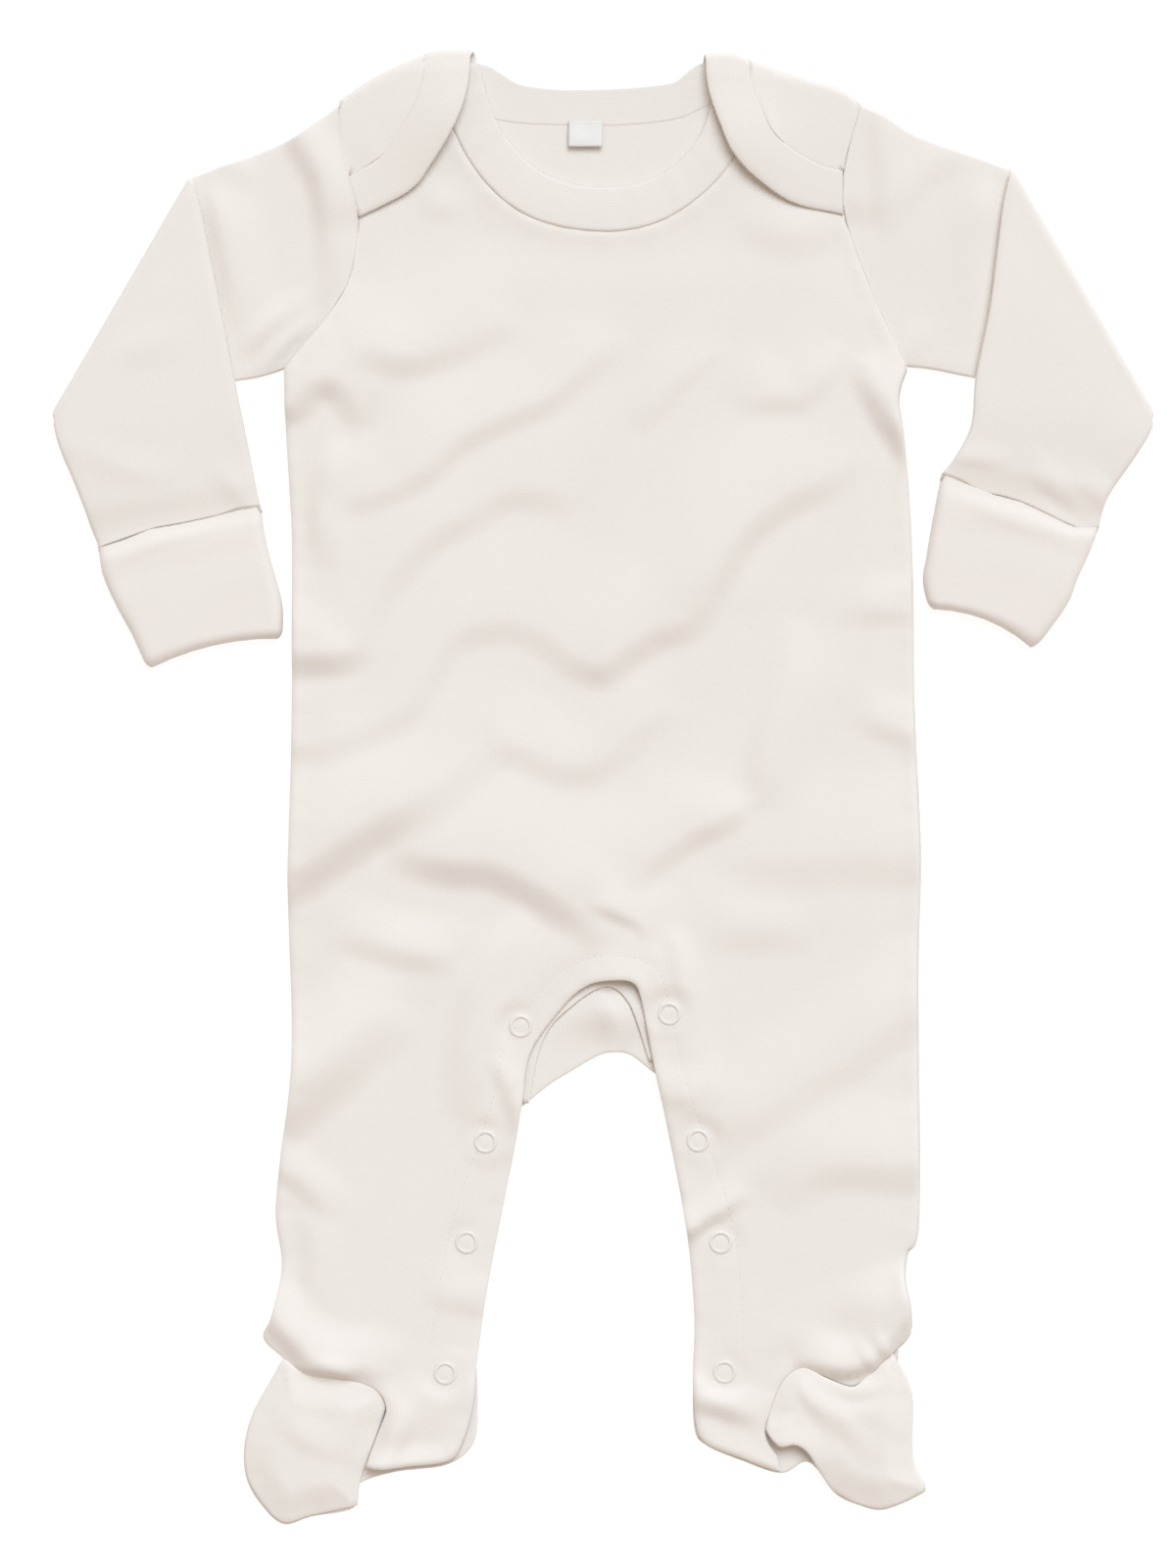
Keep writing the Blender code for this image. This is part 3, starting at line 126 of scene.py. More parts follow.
# What each side has of its own. Outlines are rows of x and y.
# side_seam, inseam: from the underarm and from the crotch down to the ankle
# leg_end, heel: the front's edge over the foot, and on round the heel
# ankle: x at the two ends of the seam between back and sole
# armhole: from the shoulder down to the underarm
# shoulder: crest of the fold where the back wraps over to the front
# lap: the binding round the lap, from the left lap's tip, and on the right towards its tip
# crossing: where the lap crosses the front neckband
# toe, sole: the free edge of the upper, from its meeting with the leg, and the whole sole
# toe_meets_y: the y past which the edge of the leg is no part of the seam with the upper
# upper_arm, elbow, forearm, mitt, mitt_end: sections of the arm, in order from the armhole to the hand
# underarm: the line past which the forearm no longer lies on the upper arm
LEFT = SimpleNamespace(
    name="left",
    outward=-1,
    side_seam=(
        (-127, 166), (-126.5, 144.5), (-125, 118), (-124, 95.5), (-124, 32.5), (-125, -14.5),
        (-125.5, -45.5), (-124, -108), (-128.5, -147), (-130.5, -170), (-128, -190.5), (-132, -210),
        (-135.5, -219), (-127.5, -227),
    ),
    inseam=((-32.5, -126.5), (-35.5, -144.5), (-40, -167), (-46.5, -201), (-50.5, -229.5)),
    leg_end=(
        (-127.5, -227), (-118, -234), (-107.5, -235), (-98.5, -236.5), (-90, -240), (-86.4, -247.3),
        (-89.6, -256.5), (-94.8, -270.3),
    ),
    heel=(
        (-94.8, -270.3), (-88.5, -271), (-77, -270), (-62, -268), (-56.5, -261), (-52, -246),
        (-50.5, -229.5),
    ),
    ankle=(-52, -128.5),
    armhole=((-105.5, 270.5), (-103.5, 251.5), (-98, 230), (-98, 217.5), (-103.5, 196.5), (-127, 166)),
    shoulder=((-106, 272), (-97, 278.5), (-85, 285.5), (-72, 291), (-65, 293), (-49, 292.8)),
    lap=(
        Band(-97.4, 226.3, -101.4, 242), Band(-77, 237, -88, 251), Band(-68.5, 247.5, -83.5, 257.5),
        Band(-60, 261.5, -76, 270), Band(-55, 274, -72.5, 279.5), Band(-53, 286, -71.5, 285),
    ),
    crossing=(-57, 264),
    toe=(
        (-86.7, -247.5), (-89.5, -256), (-96.5, -275), (-97.8, -284.5), (-100, -286.3), (-116.5, -289.8),
        (-127, -292.6), (-135, -286), (-141.5, -275), (-142.5, -262), (-138.5, -247.5), (-129, -229.5),
    ),
    sole=(
        (-129.3, -231.5), (-139, -247.5), (-143, -262), (-142, -275.5), (-135.5, -286.5), (-127.2, -293.3),
        (-116.5, -290.3), (-99.5, -286.8), (-97.5, -277.5), (-83, -272.5), (-62, -269.5), (-51.5, -260.5),
        (-50, -245), (-50.3, -231.5),
    ),
    toe_meets_y=-247,
    upper_arm=(
        Sleeve(-105.5, 270.5, -127, 166, 1.0, 1.6), Sleeve(-114, 264.5, -136.5, 163, 0.75, 1.6),
        Sleeve(-124.5, 257.5, -148, 161, 0.5, 1.6), Sleeve(-140, 251, -167, 157.8, 0.25, 1.6),
        Sleeve(-152, 247, -193, 153.5, 0.08, 1.6),
    ),
    elbow=Sleeve(-163.3, 241.1, -217.4, 148.2, 0, 1.6),
    forearm=(
        Sleeve(-160, 229, -218.3, 142.5, 0, 1.8), Sleeve(-156.5, 212, -215.8, 133.5, 0, 2.2),
        Sleeve(-151.5, 187.5, -211, 122, 0, 2.4), Sleeve(-146.5, 162, -206.5, 110.5, 0.2, 2.4),
        Sleeve(-142, 139.5, -203.5, 102, 0.5, 2.4), Sleeve(-138, 119, -201.4, 97, 0.9, 2.3),
        Sleeve(-136.4, 112, -201.2, 95.2, 1.0, 2.2),
    ),
    underarm=((-147, 161), (-219, 149.5)),
    wrist=(
        (-136.2, 111.6), (-144, 110.9), (-149, 108.8), (-168, 104.5), (-181, 102.2), (-191, 97.9),
        (-198.5, 97.2), (-201, 94.8),
    ),
    mitt=(
        Mitt(-136.2, 111.6, -200.9, 94.8, 1.0, 0, 3.0), Mitt(-134.2, 98, -199, 84, 0.4, 0.5, 3.6),
        Mitt(-130.5, 84, -193.5, 71.5, 0, 1.5, 3.9), Mitt(-127.6, 72, -187.5, 60.5, 0, 2.5, 3.9),
    ),
    mitt_end=Mitt(-127.6, 59.4, -181.5, 47, 0, 3, 3.9),
    arm_folds=(
        fold(9, 14, (-130, 264, 2.6), (-121, 250, 3.2), (-115, 238, 3.2), (-113, 222, 2.6),
             (-112, 206, 1.6), (-112, 188, 0)),
        fold(6, 9, (-158, 250, 0), (-147, 243, 0.9), (-136, 236, 0)),
        fold(6, 20, (-159, 240, 0), (-157, 230, 2.8), (-153.5, 214, 3.2), (-149.5, 194, 2.6),
             (-144, 172, 0)),
        fold(6, 8, (-146, 168, 0), (-135, 177, 1.6), (-125, 186, 1.4), (-114, 190, 0)),
        fold(5, 7, (-136, 164, 0), (-129, 171, 1.3), (-121, 179, 1.2), (-112, 181, 0)),
    ),
    forearm_folds=(
        fold(8, 12, (-162, 185, 0), (-182, 180, 0.8), (-204, 175, 0)),
        fold(5, 8, (-158, 127, 0), (-150, 118, 1), (-144, 110, 0.8)),
        fold(7, 10, (-206, 129, 0.6), (-188, 122, 0.8), (-168, 120, 0)),
    ),
    poppers=((-33, -95), (-47, -141), (-54.5, -181), (-63, -233)),
)
RIGHT = SimpleNamespace(
    name="right",
    outward=1,
    side_seam=(
        (120.5, 167), (117, 155), (119, 139), (121, 114.5), (122.5, 81.5), (123, 32.5), (125.5, -26),
        (124.5, -77), (125, -170.5), (120.5, -185.5), (119.5, -196), (121.5, -206), (121.5, -217.5),
        (115, -225),
    ),
    inseam=((20.5, -113.5), (25.5, -136.5), (33, -176.5), (36, -210), (35.5, -230)),
    leg_end=(
        (115, -225), (104, -235), (98.5, -238.5), (88.5, -235), (79, -231), (71.5, -236), (66.5, -247.5),
        (64.5, -258), (69, -266),
    ),
    heel=((69, -266), (69.5, -272), (55, -267), (40.5, -261), (36.5, -252), (35.5, -230)),
    ankle=(117, 37),
    armhole=(
        (102.5, 271), (99, 260), (95.5, 245.5), (95.5, 228), (99, 217), (108.5, 192.5), (120.5, 167),
    ),
    shoulder=((38, 291.5), (51, 291.8), (60, 288.5), (80, 282), (94.5, 277.5), (103, 271)),
    lap=(
        Band(40.5, 285, 58, 281.5), Band(42, 275.5, 60, 275), Band(46.5, 262.5, 63, 269),
        Band(51.5, 251.5, 66, 262), Band(61, 241.5, 72.5, 255), Band(75.5, 232, 84, 248),
        Band(95.2, 227.5, 95, 244.5),
    ),
    crossing=(48, 256),
    toe=(
        (65.4, -257.5), (70, -262.2), (76, -261.3), (81, -264.5), (85, -271), (90, -278.5), (93.5, -281.3),
        (101, -285), (111.5, -287), (126, -280.8), (127.6, -278), (123.5, -270), (122.5, -262),
        (122.3, -240), (116.3, -227),
    ),
    sole=(
        (117.3, -231.5), (122.8, -241), (123, -262), (124.2, -270.5), (128.2, -278), (126.4, -281.3),
        (111.5, -287.5), (101, -285.5), (92, -281), (84.5, -271), (79.5, -268.5), (70.5, -273), (55, -268),
        (41, -262), (36, -255), (35.5, -231.5),
    ),
    toe_meets_y=-257,
    upper_arm=(
        Sleeve(102.5, 271, 120.5, 167, 1.0, 1.6), Sleeve(112, 266.5, 130, 166, 0.75, 1.6),
        Sleeve(122.5, 260, 145, 163, 0.5, 1.6), Sleeve(139, 253.6, 166, 158.8, 0.25, 1.6),
        Sleeve(150, 249.8, 193, 153.7, 0.08, 1.6),
    ),
    elbow=Sleeve(161.4, 244.1, 217, 148.4, 0, 1.6),
    forearm=(
        Sleeve(158.5, 231, 217.8, 142.3, 0, 1.8), Sleeve(156, 212, 213.5, 134.5, 0, 2.2),
        Sleeve(153, 189.5, 208.5, 127, 0, 2.4), Sleeve(147.7, 163, 203.5, 120, 0.2, 2.4),
        Sleeve(146, 144, 200, 114, 0.5, 2.4), Sleeve(139.5, 131, 198, 108, 0.9, 2.3),
        Sleeve(134.5, 124.8, 197.2, 103.8, 1.0, 2.2),
    ),
    underarm=((147.5, 163), (219, 149.5)),
    wrist=(
        (134.3, 124.3), (142.9, 121.2), (149, 116.9), (159.8, 115.1), (170, 111.3), (178.4, 107),
        (187, 102.9), (193.5, 101.3), (197, 103.2),
    ),
    mitt=(
        Mitt(134.3, 124.4, 197, 103.4, 1.0, 0, 3.0), Mitt(131, 108, 193.5, 94, 0.4, 0.5, 3.6),
        Mitt(128.3, 92, 188.5, 83, 0, 1.5, 3.9), Mitt(126.8, 82, 184, 72, 0, 2.5, 3.9),
    ),
    mitt_end=Mitt(129, 71.4, 171.5, 54.8, 0, 3.6, 3.9),
    arm_folds=(
        fold(8, 12, (106, 266, 1.4), (108, 250, 1.8), (108, 236, 1.4), (107, 220, 0)),
        fold(7, 12, (122, 228, 0), (128, 238, 1.2), (136, 246, 1.4), (146, 250, 0)),
        fold(7, 20, (146, 176, 0), (150, 196, 1), (152.5, 214, 1.8), (155, 230, 2.4), (157, 242, 0)),
        fold(5, 7, (122, 170, 1), (126, 176, 1.2), (132, 178, 0)),
    ),
    forearm_folds=(
        fold(5, 8, (136, 129, 0), (148, 128, 0.9), (164, 127, 0)),
        fold(7, 10, (166, 126, 0), (177, 117, 1.2), (190, 108, 0.6)),
        fold(6, 9, (183, 124, 0), (193, 115, 1), (200, 106, 0.8)),
    ),
    poppers=((26, -90), (37.5, -140.5), (46.5, -181), (48, -232.5)),
)
SIDES = (LEFT, RIGHT)
POPPERS = LEFT.poppers + RIGHT.poppers

# Edges across the middle: the crotch arch of the front, of the facing and of the back, and both necks
FRONT_ARCH = (
    (-32.5, -126.5), (-29, -105.5), (-15.5, -86.5), (-6.5, -79), (2, -77), (11, -77.5), (14.5, -83),
    (17.5, -98), (20.5, -113.5),
)
FACING_ARCH = (
    (-29.8, -126), (-26.5, -108), (-21.5, -96), (-13, -87.5), (-3, -80.5), (4, -80), (10, -86), (14, -96),
    (18, -109),
)
BACK_ARCH = (
    (-31, -126), (-21, -118), (-12, -112.5), (-2.5, -107), (3.5, -105.5), (10.5, -106.5), (19, -113),
)
FRONT_NECK = (
    Band(-50, 288, -67, 286), Band(-48.5, 283, -65, 276), Band(-43.5, 266.5, -59.5, 261.5),
    Band(-37, 256, -51.5, 246.5), Band(-27, 246, -38.5, 232.5), Band(-13.5, 240, -21.5, 224),
    Band(1.5, 238.5, 1, 221), Band(15, 240.5, 19.5, 224), Band(26.5, 246, 35, 232.5),
    Band(36.5, 256.5, 48, 245), Band(41.5, 267, 57, 261), Band(43, 278, 60.5, 276),
    Band(41, 287.5, 58.5, 284.5),
)
BACK_NECK = (
    Band(-50.5, 288, -69, 284), Band(-45, 286.5, -60, 275.5), Band(-41, 284, -52, 269.5),
    Band(-33, 279.5, -40, 265), Band(-21, 277.8, -26, 263.6), Band(-9.5, 277.5, -10, 263.3),
    Band(8, 278, 8, 263.3), Band(26.5, 280, 28, 265.5), Band(32, 283.5, 38, 269.5),
    Band(36.5, 287, 49, 275.5), Band(39.5, 288, 57, 282),
)

# Folds of the front, of the back, seen from the front, and of the small pieces
FRONT_FOLDS = (
    fold(12, 34, (-132, 146, 4.8), (-122, 149, 5), (-113, 157, 4.6), (-106, 155, 3.6),
         (-100, 146, 2.2), (-95, 141, 0)),
    fold(13, 34, (-104, 172, 0), (-92, 169, 2.2), (-80, 166, 3), (-68, 168, 2.9), (-54, 173, 2.3),
         (-42, 179, 1.7), (-30, 184, 0)),
    fold(11, 34, (-109, 110, 0), (-94, 112, 2), (-80, 117, 2.3), (-68, 124, 2.8), (-56, 135, 2.9),
         (-38, 144, 2.7), (-20, 152, 2.5), (-6, 164, 2.1), (12, 179, 0)),
    fold(8, 18, (14, 139, 0), (23, 149, 1.3), (32, 160, 1.3), (52, 175, 0)),
    fold(10, 24, (50, 149, 0), (66, 151, 1.8), (80, 152, 1.7), (90, 162, 1.7), (98, 176, 0)),
    fold(11, 26, (100, 172, 0), (103, 160, 3.5), (108, 150, 5), (113, 142, 5.5), (120, 131, 4.5)),
    fold(13, 48, (-130, 48, 5), (-116, 48, 5.4), (-103, 49, 4.4), (-95, 54, 3.4), (-90, 67, 3.2),
         (-82, 81, 3.2), (-68, 96, 3.2), (-52, 105, 2.7), (-38, 113, 2.3), (-22, 113, 1.6), (-10, 107, 0)),
    fold(13, 40, (-130, 12, 2), (-110, 14, 2.2), (-92, 20, 2.3), (-77, 28, 2.8), (-67, 43, 2.9),
         (-57, 57, 2.6), (-42, 61, 2.2), (-28, 58, 1.9), (-12, 47, 2.5), (0, 44, 4), (12, 52, 4.2),
         (24, 59, 3.2), (38, 64, 0)),
    fold(13, 40, (22, 54, 0), (38, 64, 2.8), (46, 79, 4), (57, 97, 4.2), (72, 110, 3.2),
         (90, 119, 2.2), (106, 133, 0)),
    fold(17, 46, (-132, -47, 6), (-118, -38, 6.4), (-102, -27, 6.2), (-86, -17, 5.4), (-74, -11, 3.8),
         (-62, -4, 2.8), (-50, 6, 2.4), (-38, 15, 1.8), (-28, 20, 0)),
    fold(13, 28, (-48, 14, 0), (-34, 11, 2), (-20, 5, 2.4), (-6, 4, 2.4), (6, 11, 2), (16, 21, 1.7),
         (34, 31, 0)),
    fold(15, 50, (-88, -28, 0), (-74, -32, 3.6), (-60, -35, 5.2), (-46, -36, 5.2), (-32, -42, 5),
         (-18, -51, 4.4), (-6, -58, 3), (2, -64, 0)),
    fold(6, 20, (-8, -47, 0), (0, -50, 2.2), (7, -53, 2.6), (13, -56, 1.8), (18, -62, 0)),
    fold(11, 34, (12, -43, 0), (22, -32, 2.4), (34, -23, 3), (46, -17, 3), (56, -11, 1.8), (62, -2, 0)),
    fold(13, 30, (74, 68, 0), (68, 44, 2.4), (61, 22, 3), (58, 5, 2.6), (58, -10, 0)),
    fold(19, 38, (44, -36, 0), (62, -36, 1.8), (80, -36, 2.3), (98, -34, 2.3), (118, -35, 2.4),
         (132, -36, 2.2)),
    fold(14, 22, (38, -62, 0), (54, -62, 1.5), (70, -62, 1.5), (86, -62, 0)),
    fold(10, 16, (84, 64, 0), (98, 66, 0.6), (110, 67, 1.6), (124, 66, 1.2)),
    fold(10, 16, (96, 28, 0), (106, 23, 1.2), (114, 20, 1.8), (128, 14, 1.6)),
    fold(14, 18, (48, 224, 0), (62, 217, 1.4), (76, 214, 1.7), (90, 218, 1.1), (102, 227, 0)),
    fold(9, 12, (-76, 232, 0), (-66, 228, 1), (-54, 226, 0)),
    fold(9, 14, (-104, 140, 0), (-112, 130, 1.8), (-116, 116, 2), (-116, 102, 1.8), (-114, 86, 0)),
    fold(11, 18, (-112, -60, 0), (-96, -65, 1.8), (-82, -69, 2.4), (-68, -71, 2), (-56, -72, 0)),
)
LEG_FOLDS = (
    fold(12, 20, (-32, -46, 0), (-43, -59, 2.2), (-53, -76, 2.8), (-59, -96, 2.6), (-61, -112, 2),
         (-62, -132, 0)),
    fold(7, 10, (-47, -106, 0), (-42, -116, 2), (-38, -128, 2.4), (-34, -140, 1.6)),
    fold(22, 26, (-132, -139, 7.4), (-122, -131, 7.6), (-113, -123, 7), (-102, -113.5, 5.8),
         (-93, -105, 4.6), (-84, -98, 3), (-73, -91, 0)),
    fold(8, 13, (-134, -151, 2), (-124, -158, 1.8), (-116, -165, 1.4), (-108, -174, 0)),
    fold(9, 15, (-120, -168, 0), (-118, -182, 1.4), (-119, -198, 1.4), (-122, -212, 0)),
    fold(9, 14, (-74, -202, 0), (-62, -206, 1.2), (-50, -208, 1.2), (-40, -209, 1)),
    fold(15, 30, (42, -147, 0), (56, -138, 1.9), (72, -130, 2.1), (86, -121, 2.1), (100, -113, 2.1),
         (112, -103, 2.4), (128, -92, 2.4)),
    fold(15, 30, (72, -170, 0), (82, -160, 1.9), (92, -156, 2.8), (106, -156, 2.8), (118, -157, 2.8),
         (132, -156, 2.6)),
    fold(6, 12, (26, -180, 4), (36, -178, 4), (44, -173, 3.4), (52, -167, 2), (60, -162, 0)),
    fold(9, 14, (20, -124, 1.6), (30, -126, 1.6), (40, -128, 0)),
    fold(6, 8, (22, -56, 0), (27, -66, 1.2), (29, -80, 1.2), (30, -92, 0)),
)
ANKLE_FOLDS = (
    fold(8, 18, (-140, -206, 4.5), (-129, -219, 5), (-118, -229, 5), (-106, -233, 4.6), (-94, -234, 3),
         (-84, -238, 0)),
    fold(2.6, 7, (-124, -230, 0), (-117, -232.6, 2.2), (-110, -233.2, 2.6), (-103, -234.4, 1.6),
         (-98, -235.4, 0)),
    fold(7, 9, (-82, -242, 0), (-84, -250, 2.6), (-87, -258, 3.6), (-90.5, -266, 3.4), (-93, -274, 2.4)),
    fold(3, 10, (-104, -274, 1.6), (-94, -273, 2.6), (-84, -273.5, 2.4), (-74, -271.5, 1.8),
         (-62, -269.5, 1.4), (-52, -261, 1), (-47, -250, 0)),
    fold(6, 16, (74, -228, 0), (81, -230, 2.5), (89, -232.5, 4.2), (98, -233.5, 4.8), (108, -229, 4.8),
         (118, -218, 5), (128, -204, 4.5)),
    fold(8, 12, (26, -243, 0), (37, -246, 3), (50, -250, 3.2), (64, -255, 0)),
    fold(24, 16, (-98, -254, 0), (-84, -256, 1.8), (-68, -255, 2), (-54, -248, 1.6), (-42, -240, 0)),
    fold(14, 16, (94, -217, 0), (104, -214, 1.6), (113, -211, 2.6), (124, -207, 2.8)),
    fold(3, 4, (98, -220, 0), (103, -227, 1.1), (108, -235, 1.2)),
    fold(3, 4, (104, -215, 0), (109, -222, 1.1), (114, -230, 1.2)),
)
BODY_FOLDS = FRONT_FOLDS + LEG_FOLDS + ANKLE_FOLDS
BACK_FOLDS = (
    fold(10, 16, (-100, 150, 0), (-78, 160, 0.9), (-52, 158, 1.1), (-30, 168, 0.8), (-8, 176, 0)),
    fold(12, 18, (96, 150, 0), (76, 142, 1), (50, 146, 1.1), (28, 136, 0.8), (6, 138, 0)),
    fold(11, 16, (-98, 96, 0), (-70, 88, 1.1), (-38, 94, 1.2), (-4, 84, 1.1), (30, 88, 0.8), (52, 80, 0)),
    fold(12, 16, (100, 58, 0), (74, 66, 0.9), (48, 58, 1.1), (18, 50, 0.9), (-8, 52, 0)),
    fold(10, 14, (-100, 30, 0), (-78, 38, 1), (-54, 34, 1.1), (-32, 40, 0)),
    fold(12, 18, (-96, -8, 0), (-60, -14, 1.1), (-24, -6, 1.2), (12, -12, 1.1), (46, -4, 0.9), (70, -8, 0)),
    fold(9, 12, (64, 22, 0), (82, 16, 0.8), (102, 20, 0)),
    fold(12, 16, (98, -50, 0), (72, -42, 1), (44, -46, 1.1), (22, -40, 0)),
    fold(11, 14, (-98, -58, 0), (-74, -64, 1.1), (-50, -58, 0.9), (-30, -62, 0)),
    fold(10, 14, (-102, -104, 0), (-84, -110, 1), (-64, -106, 0.8), (-52, -110, 0)),
    fold(10, 14, (98, -98, 0), (78, -92, 1), (58, -96, 0.8), (44, -92, 0)),
    fold(10, 14, (-106, -160, 0), (-86, -154, 1), (-68, -158, 0)),
    fold(10, 14, (100, -150, 0), (80, -156, 1), (60, -152, 0)),
)
CROTCH_FOLDS = (
    fold(14, 8, (-18, -106, 0), (-10, -100, 1), (-3, -97, 2.8), (3, -96, 3.2), (8, -98, 1.8),
         (12, -102, 0)),
    fold(10, 5, (-9, -86, 0), (-2, -89, 1.6), (1, -95, 2.2), (1, -101, 2.2), (-1, -109, 1.6)),
)
LAP_FOLDS = (
    fold(4, 6, (-92, 300, 0), (-88, 322, 0.5), (-84, 338, 0)),
    fold(4, 6, (66, 300, 0), (72, 320, 0.5), (84, 336, 0)),
)
MITT_FOLDS = (
    fold(5, 8, (-198, 86, 0), (-176, 95, 0.7), (-152, 102, 0)),
    fold(5, 8, (138, 114, 0), (160, 104, 0.6), (186, 97, 0)),
)
FOOT_FOLDS = (
    fold(6, 12, (73, -232, 0), (77, -239, 1.0), (82, -247, 1.4), (87, -254, 1.1), (91, -261, 0)),
    fold(8, 11, (-136, -246, 0), (-120, -262, 1), (-97, -269, 0)),
    fold(8, 11, (78, -239, 0), (92, -253, 1.1), (106, -270, 0)),
    fold(8, 11, (88, -238, 0), (103, -250, 0.9), (120, -262, 0)),
    fold(6, 5, (80, -235, 0), (90, -240, 1.2), (100, -242.5, 1.6), (110, -240, 1.2), (117, -234, 0)),
    fold(3, 14, (58, -258, 0), (66, -262, 4), (74, -264, 5), (80, -267, 4.6), (86, -275, 2), (91, -282, 0)),
    fold(5, 12, (71, -254, 0), (74.5, -246, 1.2), (78, -238, 0.6)),
)
FOLD_BLEND = 8.0

# Rims of the pieces: how far the cloth is lifted beside the edge and over what reach, and how far the
# edge itself turns down and over what width
Rim = namedtuple("Rim", "lift reach drop width")
PLAIN_RIM = Rim(0.0, 6, 0.9, 2.4)
SEWN_RIM = Rim(0.0, 6, 0.12, 0.8)
NECK_RIM = Rim(0.8, 9, 0.12, 0.8)
ARMHOLE_RIM = Rim(0.0, 6, 0.1, 0.7)
ARCH_RIM = Rim(0.5, 6, 0.5, 1.4)
HEEL_RIM = Rim(1.4, 8, 1.3, 2.4)
LEG_END_RIM = Rim(0.6, 9, 0.3, 1.2)
UPPER_SEAM_RIM = Rim(0.9, 8, 0.25, 1.0)
RIM_EASE = 3
BACK_ROLL = (0.7, 2.4)
SHOWN_EDGE = (0.42, 1.2)
LABEL_EDGE = (0.25, 0.5)

# Large rises of the cloth: the loft inside a panel, and where the cloth stands up over what it crosses
BODY_LOFT = 1.0
LOFT_REACH = 20.0
LOFT_ENDS_Y = 222
LOFT_END_EASE = 25
FOOT_LOFT = 3.0
FOOT_LOFT_REACH = 13
ARCH_PEAK = (9, -79)
ARCH_LIFT = 3.6
ARCH_LIFT_REACH = 17
UNDER_ARCH = 0.1
OVER_FACING = (14, 16)
LAP_RAISE = 3.8
LAP_RAISE_REACH = 22
LAP_SLOPE = 42
LABEL_LIFT = 1.3

# Fine relief of the cloth, near its seams and over the whole. Each uneven area has a wavelength and a seed.
CLOTH_UNEVEN = 0.12
LABEL_UNEVEN = 0.1
RIPPLE_WAVES = 5
RIPPLE_TURN = 2.4
RIPPLE_LENGTHS = (0.7, 0.17)
RIPPLE_PHASE = 7.1
FRONT_RIPPLE = (61, 1.3)
UPPER_ARM_RIPPLE = (47, 2.1)
FOREARM_RIPPLE = (53, 4.4)
MITT_RIPPLE = (31, 5.2)
FOOT_RIPPLE = (29, 3.3)
LABEL_RIPPLE = (9, 2.2)
FRONT_UNEVEN_REACH = 12
FOOT_UNEVEN_REACH = 6
SEAM_RIDGE = 0.25
RIDGE_RISE = 2
RIDGE_FALL = (3.5, 2.5)
SEAM_PUCKER = 0.14
PUCKER_LENGTHS = (1.9, 7.3, 3.4)
PUCKER_REACH = 7
PUCKER_EASE = 1.5
FRONT_PUCKER_SEED = 0.7
FOOT_PUCKER_SEED = 1.9
STITCH_GROOVE = 0.1
GROOVE_WIDTH = 0.75

# The back and front: eases of their edges, and the line of stitches round the inner legs
SHOULDER_END_EASE = 0.4
SIDE_EASE = (0.8, 0)
INSEAM_EASE = (1.5, 0)
UNDER_WRAP = 2
TOP_UNDER_WRAP = 1.5
WRAP_CLEARANCE = (0.3, 3)
HOLE_END_GAP = 1
ANKLE_SEAM_Y = -231
ANKLE_SEAM_STEPS = 40
PLACKET_WIDTH = (10.5, 19.0)
PLACKET_WIDENS = (0.125, 0.25)
PLACKET_KNOTS = 6
PLACKET_STEP = 3
PLACKET_POINTS = 400
PLACKET_ENDS_Y = -222
PLACKET_STEPS = 330
FACING_WIDTH = 9
LABEL_BOX = ((-14, 254.5), (-0.5, 265))

# Neckbands
SEWN_OVERLAP = 0.15
BAND_WIDTH = 17.0
BAND_CROWN = 0.2
BAND_WOBBLE = 0.12
WOBBLE_TURNS = (0.9, 0.23)
FRONT_BAND_SINK = 0.1
FRONT_THINNING = 0.7
THINNING_POWER = 1.5
FREE_ROLL = (0.8, 3.4)
BAND_CORNERS = (0.12, 0.8)
FRONT_CORNERS = (0.12, 0.1)
NARROWEST_CUT = 10.0
ROUND_FACING = 6
ROUND_FRONT_BAND = 12
ROUND_BACK_BAND = 18
FRONT_NECK_STEPS = 110
LEFT_LAP_STEPS = 40
BACK_NECK_STEPS = 80
RIGHT_LAP_STEPS = 50
BAND_TURN_ROWS = 10

# Sleeves. Each closing row is a reach and a share of the thickness, at the wrist also the wall's share.
EVEN_CORNERS = (1.0, 1.0)
FOREARM_CORNERS = (0.4, 1.0)
ARMHOLE_TUCK = 0.15
ARMHOLE_WALL = 0.1
ARMHOLE_LEVEL = 1.4
ARMHOLE_REACH = 0.8
ARMHOLE_CLOSING = ((0.05, 0.9), (0.35, 0.97))
CLOSING_WALL = 0.7
ARMHOLE_EASE = 16.0
SEWN_RISE = 0.1
BESIDE_LAP = 0.25
LAP_TIP_EASE = (-3, 8)
UNDER_FOREARM = 1.5
ELBOW_CLEARANCE = 0.4
ELBOW_REACH = 2
ELBOW_FLATNESS = 0.55
ELBOW_DROP = (3, 30)
FOREARM_SINK = 1.6
FOREARM_SINK_REACH = 48
WRIST_HALF = 2.75
WRIST_EASE = 14
TO_FEET = (0, -1)
WRIST_CLOSING = ((0.12, 0.93, 0.7), (0.25, 0.82, 0.5), (0.4, 0.7, 0.25), (3.0, 0.62, 0.2))

# Mitts
MITT_CORNER = 2.2
MITT_SEAM_HALF = 2.75
MITT_SEAM_WALL = 0.5
MITT_SEAM_STEPS = (0.0, 0.4, 1.0, 2.0, 3.2, 4.6)
MITT_SEAM_EASE = (-0.5, 6.5)
MITT_BULGE = 0.35
BULGE_FALL = (7, 10)
MITT_ROWS_FROM = 6
MITT_ROW_STEP = 1.5
MITT_END_GAP = 0.6

